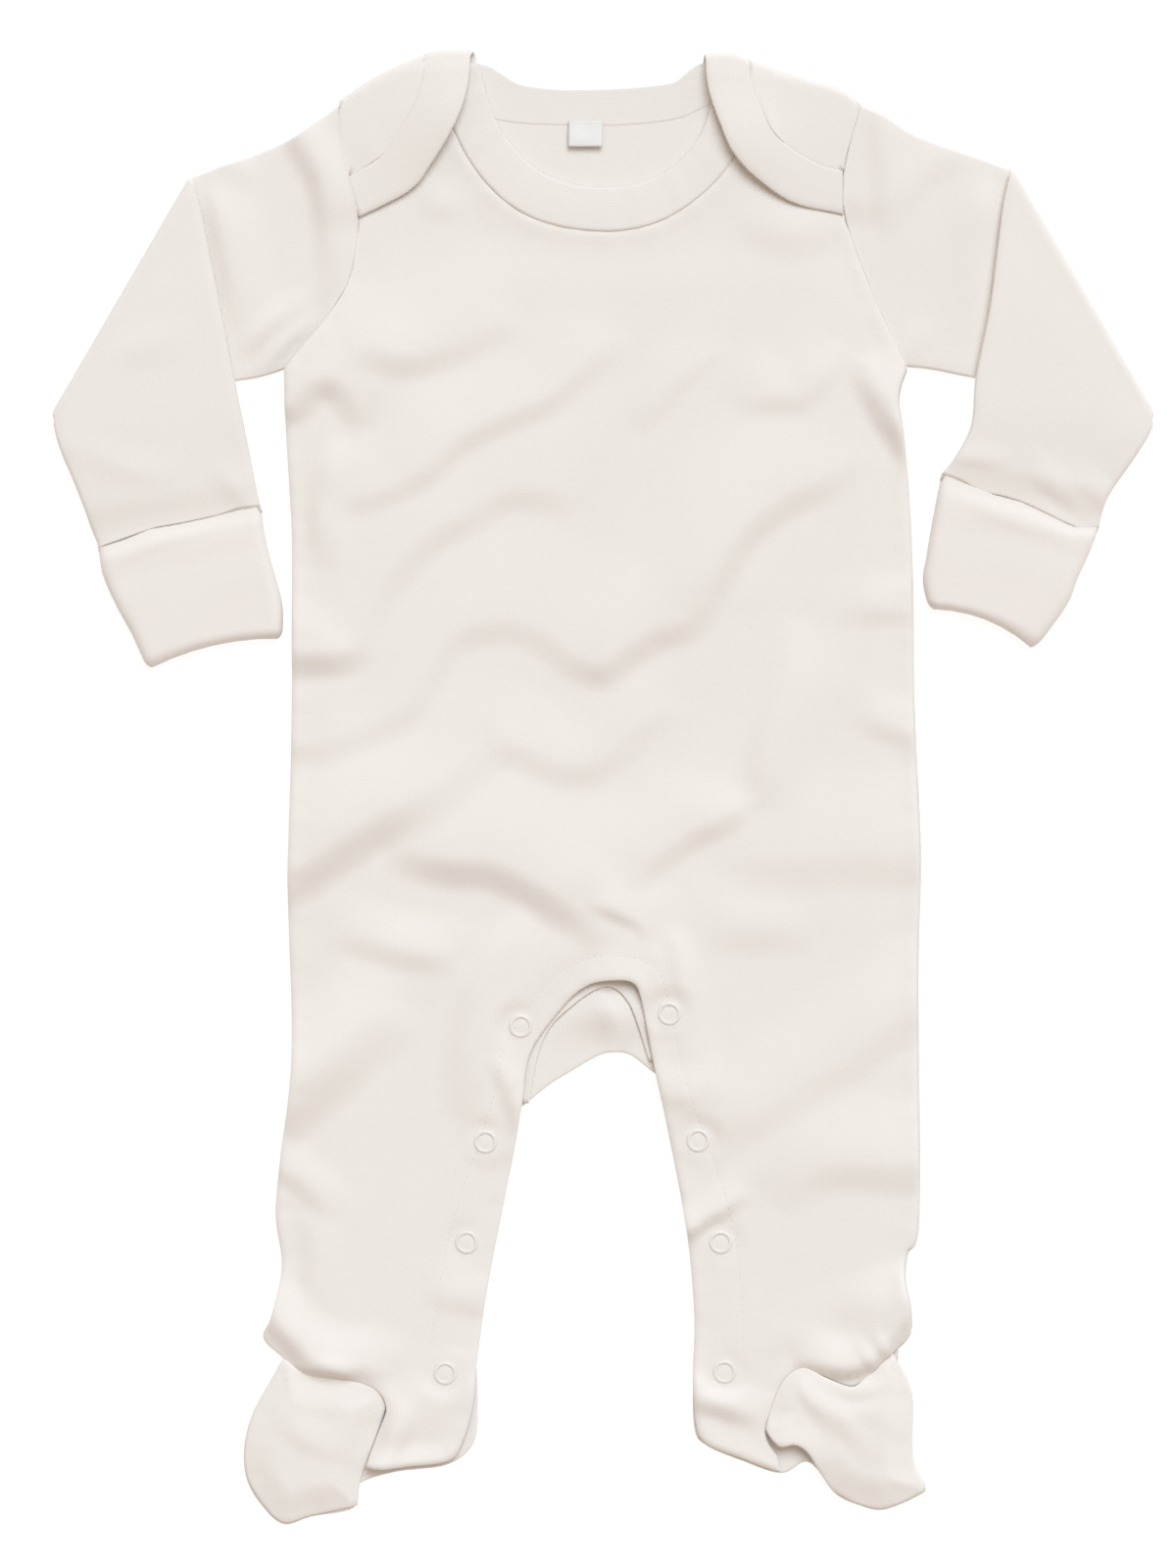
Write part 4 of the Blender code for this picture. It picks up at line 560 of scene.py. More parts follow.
# Poppers: the profile of a cap is the reach and rise of each ring. Stitches: place along, thickness, depth
POPPER_SIDES = 48
POPPER_SEAT = 0.25
POPPER_HOLD = (5, 7)
POPPER_DOME = 0.2
DOME_REACH = (1.2, 2.2)
POPPER_DENT = 0.1
DENT_REACH = (6.3, 1.5)
POPPER_PROFILE = (
    (3.2, 0.0), (3.18, 0.22), (3.3, 0.36), (3.6, 0.45), (3.95, 0.46), (4.3, 0.38), (4.55, 0.25),
    (4.68, 0.1), (4.7, 0.0),
)
STITCH_LENGTH = 1.9
STITCH_GAP = 0.7
STITCH_THICKNESS = 0.3
STITCH_SIDES = 6
STITCH_RISE = 0.05
STITCH_HEADING = 0.1
STITCH_PROFILE = (
    (-0.5, 0.25, 0.35), (-0.38, 0.85, 0.12), (0.0, 1.0, 0.0), (0.38, 0.85, 0.12), (0.5, 0.25, 0.35),
)

# Colours, light and camera
CREAM = (0.854, 0.797, 0.744)
RIB_CREAM = (0.846, 0.79, 0.735)
MITT_CREAM = (0.859, 0.797, 0.744)
THREAD_CREAM = (0.83, 0.78, 0.73)
POPPER_CREAM = (0.82, 0.775, 0.725)
LABEL_WHITE = (0.79, 0.77, 0.74)
FLOOR_HALF = 2.5
FLOOR_DROP = 0.3
FLOOR_GREY = (0.3, 0.3, 0.3, 1)
FLOOR_GLOW = 0.8
WORLD_LIGHT = 0.5
WORLD_TINT = (1.08, 0.94, 0.82, 1)
SOFTBOX_LIGHT = 2.0
SOFTBOX_SPREAD = 40
SOFTBOX_TINT = (0.89, 1.043, 1.18)
SOFTBOX_FROM = (0.2, 0.62, 0.9)
SENSOR = 36
CAMERA_HEIGHT = 3000.0
CAMERA_X = -6.24
CAMERA_Y = 1.17
CAMERA_FAR = 20
PHOTO_LENGTH = 624.0


# Curves, as arrays of points

def smooth(amount):
    """Ease from 0 to 1 with level ends."""
    amount = np.clip(amount, 0.0, 1.0)
    return amount * amount * (3 - 2 * amount)


def eased(value, start, width):
    """Ease from 0 to 1 as a value goes on from a start over a width."""
    return smooth((value - start) / width)


def bell(distance, reach):
    """1 where there is no distance, falling away over a reach."""
    return np.exp(-(distance / reach) ** 2)


def through(rows, steps):
    """Rows of numbers on a smooth curve through the rows of a table, with steps to each interval."""
    table = np.array(rows, float)
    knots = np.concatenate([[2 * table[0] - table[1]], table, [2 * table[-1] - table[-2]]])
    t = np.arange(steps)[:, None] / steps
    parts = []
    for before, start, end, after in zip(knots, knots[1:], knots[2:], knots[3:]):
        parts.append(0.5 * (2 * start + (end - before) * t
                            + (2 * before - 5 * start + 4 * end - after) * t ** 2
                            + (3 * start - 3 * end + after - before) * t ** 3))
    return np.concatenate(parts + [table[-1:]])


def run_of(line):
    """Distance run along a line at each of its points."""
    steps = np.linalg.norm(np.diff(line, axis=0), axis=1)
    return np.concatenate([[0.0], np.cumsum(steps)])


def at(line, distances):
    """Points of a line at given distances along it."""
    run = run_of(line)
    return np.stack([np.interp(distances, run, column) for column in line.T], axis=-1)


def resample(line, count):
    return at(line, np.linspace(0, run_of(line)[-1], count + 1))


def curve(points, step=STEP, count=None):
    """A smooth curve through the points, with a point about every step or count + 1 points."""
    fine = through([point[:2] for point in points], CURVE_STEPS)
    return resample(fine, count or max(1, round(run_of(fine)[-1] / step)))


def circle(centre, radius, count):
    turns = np.linspace(0, 2 * math.pi, count, endpoint=False)
    return np.array(centre) + radius * np.stack([np.cos(turns), np.sin(turns)], axis=1)


def from_point(points, place):
    """Distance from each point to a place."""
    return np.linalg.norm(points - np.array(place), axis=1)


def unit(vector):
    return vector / np.linalg.norm(vector)


def square_to(start, end, facing):
    """The unit vector at right angles to the line between two points that faces along another vector."""
    vector = unit(np.array([end[1] - start[1], start[0] - end[0]]))
    return vector if vector @ facing >= 0 else -vector


def normals(line, is_closed=False):
    """Unit vectors to the left of a line at each of its points."""
    along = np.roll(line, -1, axis=0) - np.roll(line, 1, axis=0) if is_closed else np.gradient(line, axis=0)
    along = along / np.linalg.norm(along, axis=1)[:, None]
    return np.stack([-along[:, 1], along[:, 0]], axis=1)


def closed(*runs):
    """Join runs of points into one closed loop, without repeating the points where they meet.

    A run may come with the rim that its edge has. The second result is the rim at each point.
    """
    loop, rims = [], []
    for run in runs:
        points, rim = run if isinstance(run, tuple) else (run, PLAIN_RIM)
        for point in points:
            if not loop or np.linalg.norm(loop[-1] - point) > SEAM:
                loop.append(point)
                rims.append(rim)
    while np.linalg.norm(loop[0] - loop[-1]) <= SEAM:
        loop.pop()
        rims.pop()
    eased = [np.roll(rims, shift, axis=0) for shift in range(-RIM_EASE, RIM_EASE + 1)]
    return np.array(loop), np.mean(eased, axis=0)


def to_line(points, line, is_closed=False):
    """Distance from each point to a line, how far along it that is, and how far to its left."""
    line = np.vstack([line, line[:1]]) if is_closed else line
    spans = np.diff(line, axis=0)
    squared = (spans ** 2).sum(axis=1)
    run = run_of(line)
    result = np.empty((3, len(points)))
    for first in range(0, len(points), BATCH):
        reach = points[first:first + BATCH, None, :] - line[None, :-1]
        share = np.clip((reach * spans).sum(axis=2) / squared, 0, 1)
        offset = reach - share[..., None] * spans
        gap = (offset ** 2).sum(axis=2)
        nearest = gap.argmin(axis=1)
        rows = np.arange(len(nearest))
        off, span, length = offset[rows, nearest], spans[nearest], np.sqrt(squared[nearest])
        left = (span[:, 0] * off[:, 1] - span[:, 1] * off[:, 0]) / length
        along = run[nearest] + share[rows, nearest] * length
        result[:, first:first + BATCH] = np.sqrt(gap[rows, nearest]), along, left
    return result


def to_edge(points, loop, rims):
    """Distance of each point from a panel's edge, how far along the edge that is, and the rim there."""
    distance, along, _ = to_line(points, loop, True)
    run = run_of(np.vstack([loop, loop[:1]]))
    return distance, along, Rim(*(np.interp(along, run, np.append(column, column[0])) for column in rims.T))


def is_inside(points, loop):
    """Whether each point lies inside a closed loop."""
    x, y = points.T
    inside = np.zeros(len(points), bool)
    for (start_x, start_y), (end_x, end_y) in zip(loop, np.roll(loop, -1, axis=0)):
        if start_y != end_y:
            crosses = (start_y > y) != (end_y > y)
            inside ^= crosses & (x < start_x + (end_x - start_x) * (y - start_y) / (end_y - start_y))
    return inside


def signed_area(loop):
    """Area inside a loop, which is below zero where the loop runs clockwise."""
    after = np.roll(loop, -1, axis=0)
    return (loop[:, 0] * after[:, 1] - loop[:, 1] * after[:, 0]).sum() / 2


# Meshes

def fill(loop, spacing, lines=(), spots=()):
    """Points inside a loop: rows along its edge and along stitch lines, rings round spots, and a grid."""
    def well_inside(points, gap):
        points = points[is_inside(points, loop)]
        return points[to_line(points, loop, True)[0] > gap]

    clear = 0.5 * spacing
    inward = normals(loop, True) * np.sign(signed_area(loop))
    found = [well_inside(loop + inward * row, ROW_KEPT * row) for row in EDGE_ROWS]
    low, high = loop.min(axis=0), loop.max(axis=0)
    height = spacing * math.sqrt(3) / 2
    count = ((high - low) / (spacing, height)).astype(int)
    rows, columns = np.mgrid[:count[1] + 1, :count[0] + 2]
    grid = np.stack([low[0] + (columns + 0.5 * (rows % 2)) * spacing, low[1] + rows * height], axis=-1)
    grid = well_inside(grid.reshape(-1, 2), EDGE_ROWS[-1] + clear)
    for line in lines:
        found += [well_inside(line + normals(line) * row, EDGE_ROWS[-1] + ROW_GAP) for row in STITCH_ROWS]
        grid = grid[to_line(grid, line)[0] > STITCH_ROWS[-1] + clear]
    for spot in spots:
        found += [circle(spot, radius, round(SPOT_POINTS * radius)) for radius in SPOT_RINGS]
        grid = grid[from_point(grid, spot) > SPOT_RINGS[-1] + clear]
    return np.concatenate([*found, grid])


def triangulate(loop, inner, rows=()):
    """Points and triangles of the region inside a loop. Each row of points given keeps its edges."""
    points = np.concatenate([loop, inner, *rows])
    edges = []
    first = len(loop) + len(inner)
    for row in rows:
        edges += [(index, index + 1) for index in range(first, first + len(row) - 1)]
        first += len(row)
    outline = list(range(len(loop)))
    found = geometry.delaunay_2d_cdt([Vector(point) for point in points], edges, [outline], 1, MERGED)
    return np.array([tuple(point) for point in found[0]]), np.array(found[2])


def add_to_scene(name, data):
    thing = bpy.data.objects.new(name, data)
    bpy.context.scene.collection.objects.link(thing)
    return thing


def add_object(name, points, faces, surface, pattern):
    """A mesh from points in millimetres and groups of faces, with pattern coordinates in metres."""
    mesh = bpy.data.meshes.new(name)
    polygons = [face for group in faces for face in np.asarray(group).tolist()]
    mesh.from_pydata((points * MM).tolist(), [], polygons)
    mesh.materials.append(surface)
    mesh.shade_smooth()
    corners = np.empty(len(mesh.loops), np.int32)
    mesh.loops.foreach_get("vertex_index", corners)
    layer = mesh.uv_layers.new(name="pattern")
    layer.data.foreach_set("uv", (pattern[corners] * MM).astype(np.float32).ravel())
    return add_to_scene(name, mesh)


def add_shell(name, outer, inner, faces, surface, pattern, faces_up=True):
    """A closed sheet of cloth between an outer and an inner face that share their triangles."""
    first, second, third = (outer[faces[:, corner]] for corner in range(3))
    upward = np.cross(second - first, third - first)[:, 2].sum() > 0
    if upward != faces_up:
        faces = faces[:, ::-1]
    count = len(outer)
    edges = np.concatenate([faces[:, [0, 1]], faces[:, [1, 2]], faces[:, [2, 0]]])
    shared = np.isin(edges[:, 0] * count + edges[:, 1], edges[:, 1] * count + edges[:, 0])
    rim = edges[~shared]
    sides = np.stack([rim[:, 1], rim[:, 0], rim[:, 0] + count, rim[:, 1] + count], axis=1)
    return add_object(name, np.concatenate([outer, inner]), [faces, faces[:, ::-1] + count, sides], surface,
                      np.concatenate([pattern, pattern]))


def add_panel(name, node, loop, pattern, faces, heights, surface, faces_up=True):
    """A cut panel as a shell between its outer and inner heights, attached to the root in place of its part.
    """
    outer, inner = (np.column_stack([pattern, height]) for height in heights)
    shell = add_shell(name, outer, inner, faces, surface, pattern, faces_up)
    declare_panel(shell, node, pattern, loop)
    return shell


# Relief of the cloth

def roll(distance, drop, width):
    """How far the cloth's outer face turns down close to its edge."""
    share = np.clip(distance / width, 0, 1)
    return drop * (1 - np.sqrt(1 - (1 - share) ** 2))


def rim_lift(distance, rim):
    """How far the cloth stands up beside a rim that is lifted."""
    return rim.lift * bell(distance, rim.reach)


def mound(points, peak, height, reach):
    """A round rise of the cloth over a peak."""
    return height * bell(from_point(points, peak), reach)


def arch_lift(points):
    """How far the cloth stands up round the top of the crotch."""
    return mound(points, ARCH_PEAK, ARCH_LIFT, ARCH_LIFT_REACH)


def ripple(points, wavelength, seed):
    """A smooth uneven pattern between about -1 and 1."""
    total = np.zeros(len(points))
    for index in range(RIPPLE_WAVES):
        turn = seed + index * RIPPLE_TURN
        across = points @ np.array([math.cos(turn), math.sin(turn)])
        often = (RIPPLE_LENGTHS[0] + RIPPLE_LENGTHS[1] * index) / wavelength
        total += np.sin(across * 2 * math.pi * often + seed * RIPPLE_PHASE * (index + 1))
    return total / 3


def uneven(points, wavelength, seed):
    return CLOTH_UNEVEN * (1 + ripple(points, wavelength, seed))


def pucker(distance, along, seed):
    """Small uneven gathers that run in from a seam."""
    short, long, middle = (np.sin(along / length + seed * (number + 1))
                           for number, length in enumerate(PUCKER_LENGTHS))
    wave = short * long + 0.6 * middle
    return SEAM_PUCKER * wave * bell(distance, PUCKER_REACH) * smooth(distance / PUCKER_EASE)


def fold_heights(folds, points):
    """Height that a set of folds adds at each point, blended smoothly between the points of each fold."""
    total = np.zeros(len(points))
    for one in folds:
        rows = through(one.points, FOLD_STEPS)
        line = rows[:, :2]
        left = normals(line)
        reach = one.fall + one.rise
        near = ((points > line.min(axis=0) - reach) & (points < line.max(axis=0) + reach)).all(axis=1)
        offset = points[near][:, None] - line[None]
        shares = (1 + np.linalg.norm(offset, axis=2)) ** -FOLD_BLEND
        shares /= shares.sum(axis=1)[:, None]
        side = (shares * (offset * left).sum(axis=2)).sum(axis=1)
        beyond = (shares * (offset[..., 0] * left[:, 1] - offset[..., 1] * left[:, 0])).sum(axis=1)
        uphill = side + one.fall / 2
        profile = np.where(uphill < one.fall, smooth(uphill / one.fall),
                           1 - eased(uphill, one.fall, one.rise))
        total[near] += (shares @ rows[:, 2]) * profile * (1 - smooth(np.abs(beyond) / reach))
    return total


# Shoulders: the back wraps over each shoulder, on a rounded fold, and lies on the front as a lap

def seam_line(bands):
    return curve([(band.seam_x, band.seam_y) for band in bands])


def from_left(side, rows):
    """Rows as they are on the left, and turned about on the right, where the outline runs the other way."""
    return rows if side is LEFT else rows[::-1]


def add_curves(side):
    """Give a side the curves and places that several of its pieces share."""
    side.crest = curve(side.shoulder, CREST_STEP)
    side.hole = curve(side.armhole)
    lap = from_left(side, side.lap)
    side.tip = lap[0][:2]
    side.lap_x = lap[-1].seam_x
    side.neck_x = from_left(side, BACK_NECK)[0].seam_x
    side.outer_x = side.hole[0, 0] - side.outward * SHOULDER_END_EASE
    side.hole_below = below(side.hole, side, UNDER_WRAP)


def wrap_axis(side, x):
    """The y about which the cloth turns over at a shoulder."""
    return np.interp(x, side.crest[:, 0], side.crest[:, 1]) - FOLD_RADIUS


def below(line, side, margin=0.0):
    """The points of a curve that lie under the wrap of a shoulder."""
    return line[line[:, 1] < wrap_axis(side, line[:, 0]) - margin]


def lap_top(points, side):
    """Height of a lap's outer face, which sinks towards its tip and stands up where it crosses the band."""
    return (LAP_TIP_TOP + (LAP_TOP - LAP_TIP_TOP) * smooth(from_point(points, side.tip) / LAP_SLOPE)
            + mound(points, side.crossing, LAP_RAISE, LAP_RAISE_REACH))


def unfold(points, side):
    """Where points of the lap lie in the back's flat pattern."""
    x, y = points.T
    return np.column_stack([x, 2 * wrap_axis(side, x) + HALF_TURN - y])


def wrap(points, side, inset, lift):
    """Fold points of the back's pattern over the shoulder, inset from the cloth's outer face."""
    x, y = points.T
    axis = wrap_axis(side, x)
    beyond = y - axis
    angle = np.clip(beyond / FOLD_RADIUS, 0, math.pi)
    radius = FOLD_RADIUS - inset
    flat = beyond > HALF_TURN
    y = np.where(beyond <= 0, y, axis + radius * np.sin(angle))
    y = np.where(flat, axis - (beyond - HALF_TURN), y)
    z = np.where(flat, lap_top(np.column_stack([x, y]), side) - inset, FOLD_RADIUS - radius * np.cos(angle))
    return np.column_stack([x, y, z + lift * (flat | (angle == 0))])


def fold_rows(side, start_x, end_x):
    """Pattern points up a wrap's edge, from the axis to where the lap begins to lie flat."""
    turned = np.linspace(0, 1, WRAP_ROWS + 1)
    x = start_x + (end_x - start_x) * turned
    return np.column_stack([x, wrap_axis(side, x) + HALF_TURN * turned])


def wrap_rows(side):
    """Rows of pattern points along a wrap, close enough to round it."""
    low_x, high_x = sorted((side.outer_x, side.lap_x))
    x = np.linspace(low_x, high_x, round((high_x - low_x) / STEP) + 1)[1:-1]
    return [np.column_stack([x, wrap_axis(side, x) + HALF_TURN * row / WRAP_ROWS])
            for row in range(WRAP_ROWS + 1)]


# The back and front

def lap_outline(side):
    """Runs of the back's outline from underarm to neck, round a lap. Those of the right run from the neck."""
    seam = from_left(side, below(seam_line(side.lap), side))
    lap_hole = side.hole_below[side.hole_below[:, 1] > seam[0, 1] + HOLE_END_GAP]
    runs = [
        (side.hole_below[::-1], PLAIN_RIM),
        (fold_rows(side, side.outer_x, side.outer_x), ARMHOLE_RIM),
        (unfold(lap_hole, side), ARMHOLE_RIM),
        (unfold(seam, side), SEWN_RIM),
        (fold_rows(side, side.neck_x, side.lap_x)[::-1], SEWN_RIM),
    ]
    return from_left(side, [(from_left(side, points), rim) for points, rim in runs])


def ankle_seam(ends):
    return resample(np.array([(x, ANKLE_SEAM_Y) for x in ends], float), ANKLE_SEAM_STEPS)


def back_lift(pattern):
    """How far the back rises from the surface in the gap of the crotch, and the small folds of the laps."""
    return fold_heights(CROTCH_FOLDS + LAP_FOLDS, pattern) + UNDER_ARCH * arch_lift(pattern)


def build_back(surface):
    """The back, with both legs and the two laps in one piece, with finer points near the shoulders."""
    loop, rims = closed(
        *lap_outline(LEFT),
        (seam_line(BACK_NECK), SEWN_RIM),
        *lap_outline(RIGHT),
        curve(RIGHT.side_seam)[1:-1] + SIDE_EASE,
        ankle_seam(RIGHT.ankle),
        curve(RIGHT.inseam)[::-1][1:-1] + INSEAM_EASE,
        curve(BACK_ARCH)[::-1],
        curve(LEFT.inseam)[1:-1] - INSEAM_EASE,
        ankle_seam(LEFT.ankle),
        curve(LEFT.side_seam)[::-1][:-1],
    )
    coarse, fine = fill(loop, BACK_GRID), fill(loop, LAP_GRID)
    inner = np.concatenate([coarse[coarse[:, 1] < LAP_GRID_FROM_Y], fine[fine[:, 1] >= LAP_GRID_FROM_Y]])
    turn_margin, x_margin = WRAP_CLEARANCE
    for side in SIDES:
        x, y = inner.T
        angle = (y - wrap_axis(side, x)) / FOLD_RADIUS
        on_wrap = (angle > -turn_margin) & (angle < math.pi + turn_margin)
        inner = inner[~(on_wrap & (x > side.crest[0, 0] - x_margin) & (x < side.crest[-1, 0] + x_margin))]
    pattern, faces = triangulate(loop, inner, wrap_rows(LEFT) + wrap_rows(RIGHT))
    distance, _, rim = to_edge(pattern, loop, rims)
    turned = roll(distance, np.minimum(rim.drop, BACK_ROLL[0]), rim.width)
    shown = roll(to_line(pattern, curve(BACK_ARCH))[0], *SHOWN_EDGE)
    lift = back_lift(pattern) + fold_heights(BACK_FOLDS, pattern) * smooth(distance / LOFT_REACH)
    outer, inner = np.empty((2, len(pattern), 3))
    for side in SIDES:
        here = (pattern[:, 0] < 0) == (side is LEFT)
        outer[here] = wrap(pattern[here], side, turned[here], lift[here])
        inner[here] = wrap(pattern[here], side, CLOTH - shown[here], lift[here])
    shell = add_shell("back_shell", outer, inner, faces, surface, pattern, faces_up=False)
    declare_panel(shell, "back_body", pattern, loop)


def front_loop():
    """Outline of the front, from the left underarm up and round."""
    neck = seam_line(FRONT_NECK)
    tops = []
    for side, neck_x in ((LEFT, neck[0, 0]), (RIGHT, neck[-1, 0])):
        top = side.crest - (0, FOLD_RADIUS + TOP_UNDER_WRAP)
        low_x, high_x = sorted((side.hole_below[0, 0], neck_x + UNDER_WRAP * side.outward))
        tops.append(top[(top[:, 0] > low_x) & (top[:, 0] < high_x)])
    return closed(
        (LEFT.hole_below[::-1], ARMHOLE_RIM), tops[0], (neck, NECK_RIM), tops[1],
        (RIGHT.hole_below, ARMHOLE_RIM), curve(RIGHT.side_seam)[1:], (curve(RIGHT.leg_end)[1:], LEG_END_RIM),
        (curve(RIGHT.heel)[1:], HEEL_RIM), curve(RIGHT.inseam)[::-1][1:],
        (curve(FRONT_ARCH)[::-1][1:], ARCH_RIM), curve(LEFT.inseam)[1:],
        (curve(LEFT.heel)[::-1][1:], HEEL_RIM), (curve(LEFT.leg_end)[::-1][1:], LEG_END_RIM),
        curve(LEFT.side_seam)[::-1][1:],
    )


def placket_line():
    """The line of stitches that holds the popper facing: down one leg, over the crotch, down the other."""
    line = np.concatenate([curve(LEFT.inseam)[::-1], curve(FRONT_ARCH)[1:], curve(RIGHT.inseam)[1:]])
    from_middle = np.abs(np.linspace(-0.5, 0.5, len(line)))
    narrow, wide = PLACKET_WIDTH
    width = narrow + (wide - narrow) * eased(from_middle, *PLACKET_WIDENS)
    moved = line + normals(line) * width[:, None]
    moved = resample(curve(moved[::PLACKET_KNOTS], PLACKET_STEP), PLACKET_POINTS)
    return resample(moved[moved[:, 1] > PLACKET_ENDS_Y], PLACKET_STEPS)


def front_top(points, distance, along):
    """Height of the front's outer face."""
    loft = BODY_LOFT * smooth(distance / LOFT_REACH) * smooth((LOFT_ENDS_Y - points[:, 1]) / LOFT_END_EASE)
    near_arch = to_line(points, curve(FRONT_ARCH))[0]
    over_facing = (FACING + SEAM) * (1 - eased(near_arch, *OVER_FACING))
    height = FRONT_TOP + loft + over_facing + fold_heights(BODY_FOLDS, points) + arch_lift(points)
    height += uneven(points, *FRONT_RIPPLE) * smooth(distance / FRONT_UNEVEN_REACH)
    ridge = smooth(distance / RIDGE_RISE) * (1 - eased(distance, *RIDGE_FALL))
    return height + SEAM_RIDGE * ridge + pucker(distance, along, FRONT_PUCKER_SEED)


def seat_poppers(points, height):
    """The cloth pressed level under each popper, with a small dome inside its ring, and each level."""
    levels = []
    for centre in POPPERS:
        reach = from_point(points, centre)
        held = 1 - eased(reach, *POPPER_HOLD)
        levels.append(height[reach.argmin()] - POPPER_SEAT)
        height = height * (1 - held) + levels[-1] * held
        height += POPPER_DOME * (1 - eased(reach, *DOME_REACH))
        height -= POPPER_DENT * (1 - smooth(np.abs(reach - DENT_REACH[0]) / DENT_REACH[1]))
    return height, levels


def build_front(surface):
    """The front. Its shell, its line of stitches and the level of each popper are used by what it carries."""
    loop, rims = front_loop()
    line = placket_line()
    pattern, faces = triangulate(loop, fill(loop, FRONT_GRID, [line], POPPERS))
    distance, along, rim = to_edge(pattern, loop, rims)
    height = front_top(pattern, distance, along) + rim_lift(distance, rim)
    height, levels = seat_poppers(pattern, height)
    groove = STITCH_GROOVE * bell(to_line(pattern, line)[0], GROOVE_WIDTH)
    heights = height - roll(distance, rim.drop, rim.width) - groove, height - CLOTH
    return add_panel("front_shell", "front_body", loop, pattern, faces, heights, surface), line, levels


def build_foot(side, surface):
    """The upper and the sole of one foot."""
    line = curve(side.leg_end)
    line = line[line[:, 1] > side.toe_meets_y]
    toward_toes = normals(line)
    toward_toes *= -np.sign(toward_toes[:, 1].sum())
    loop, rims = closed((line - toward_toes * SEWN_OVERLAP, UPPER_SEAM_RIM), curve(side.toe)[:-1])
    pattern, faces = triangulate(loop, fill(loop, FOOT_GRID))
    distance, along, rim = to_edge(pattern, loop, rims)
    height = FRONT_TOP + FOOT_LOFT * smooth(distance / FOOT_LOFT_REACH) + fold_heights(FOOT_FOLDS, pattern)
    height += uneven(pattern, *FOOT_RIPPLE) * smooth(distance / FOOT_UNEVEN_REACH)
    height += pucker(distance, along, FOOT_PUCKER_SEED) + rim_lift(distance, rim)
    heights = height - roll(distance, rim.drop, rim.width), height - CLOTH
    node = "foot_upper_" + side.name
    add_panel(node + "_shell", node, loop, pattern, faces, heights, surface)
    loop, _ = closed(curve(side.sole))
    pattern, faces = triangulate(loop, fill(loop, BACK_GRID))
    distance = to_line(pattern, loop, True)[0]
    heights = roll(distance, *BACK_ROLL), CLOTH - roll(distance, *SHOWN_EDGE)
    node = "foot_sole_" + side.name
    add_panel(node + "_shell", node, loop, pattern, faces, heights, surface, faces_up=False)


def build_label(surface):
    """The bare label, sewn in along its top edge, with its free edge a little lifted."""
    low, high = (np.array(corner) for corner in LABEL_BOX)
    corners = np.array([low, (high[0], low[1]), high, (low[0], high[1])])
    loop = np.concatenate([resample(np.array(edge), LABEL_STEPS)[:-1]
                           for edge in zip(corners, np.roll(corners, -1, axis=0))])
    pattern, faces = triangulate(loop, fill(loop, LABEL_GRID))
    distance = to_line(pattern, loop, True)[0]
    lift = LABEL_LIFT * smooth((high[1] - pattern[:, 1]) / (high[1] - low[1]))
    height = LABEL_TOP + lift + LABEL_UNEVEN * ripple(pattern, *LABEL_RIPPLE)
    heights = height - roll(distance, *LABEL_EDGE), height - LABEL_CLOTH
    add_panel("label", "size_label", loop, pattern, faces, heights, surface)


# Rings of points, and the solids through them. A place puts points with heights about a middle into space.

def level_place(level):
    return lambda points, heights: np.column_stack([points, level + heights])


def profile(length, half, inset, count, corners):
    """Distances and heights round one half of a flattened tube: rounded at both edges, level between.

    Corners below 1 make an edge blunter.
    """
    radius = half - inset
    turn = np.linspace(0, math.pi / 2, EDGE_POINTS)
    start, end = (inset + radius * (1 - np.cos(turn)) * corner for corner in corners)
    level = np.linspace(start[-1], length - end[-1], count + 1)[1:-1]
    distances = np.concatenate([start, level, length - end[::-1]])
    rise = radius * np.sin(turn)
    return distances, np.concatenate([rise, np.full(len(level), radius), rise[::-1]])


def ring(line, half, inset, count, place, corners=EVEN_CORNERS):
    """Points round a flattened tube: along its upper side and back along its lower side."""
    distances, heights = profile(run_of(line)[-1], half, inset, count, corners)
    points = at(line, distances)
    lower = place(points[1:-1], -heights[1:-1])
    return np.concatenate([place(points, heights), lower[::-1]])


def between_rings(rows, size, base=0):
    """Faces between rings of points."""
    index = np.arange(size)
    after = (index + 1) % size
    return [base + np.stack([row * size + index, row * size + after,
                             (row + 1) * size + after, (row + 1) * size + index], axis=1)
            for row in range(rows - 1)]


def solid_faces(rows, size, base=0):
    """Faces between rings of points and over both of their ends."""
    index = base + np.arange(size)[None]
    return between_rings(rows, size, base) + [index[:, ::-1], index + (rows - 1) * size]


def ring_pattern(rings):
    """Pattern coordinates of rings: round each one, and along the tube's middle."""
    rings = np.array(rings)
    across = np.linalg.norm(rings - rings[:, :1], axis=2)
    along = np.broadcast_to(run_of(rings.mean(axis=1))[:, None], across.shape)
    return np.stack([across, along], axis=2).reshape(-1, 2)


def add_closed(name, points, faces, surface, pattern):
    """A closed mesh whose faces are turned outwards, by the sign of its volume."""
    volume = 0.0
    for group in faces:
        corners = points[np.asarray(group)]
        for second in range(1, corners.shape[1] - 1):
            volume += (corners[:, 0] * np.cross(corners[:, second], corners[:, second + 1])).sum()
    if volume <= 0:
        faces = [np.asarray(group)[:, ::-1] for group in faces]
    return add_object(name, points, faces, surface, pattern)


def declare_rings(piece, node, rings, width):
    """Attach a piece made through rings to the root in place of its part. Its width is not used."""
    area = sum(polygon.area for polygon in piece.data.polygons) / MM ** 2 / 2
    length = run_of(np.array(rings).mean(axis=1))[-1]
    declare(piece, node, area)


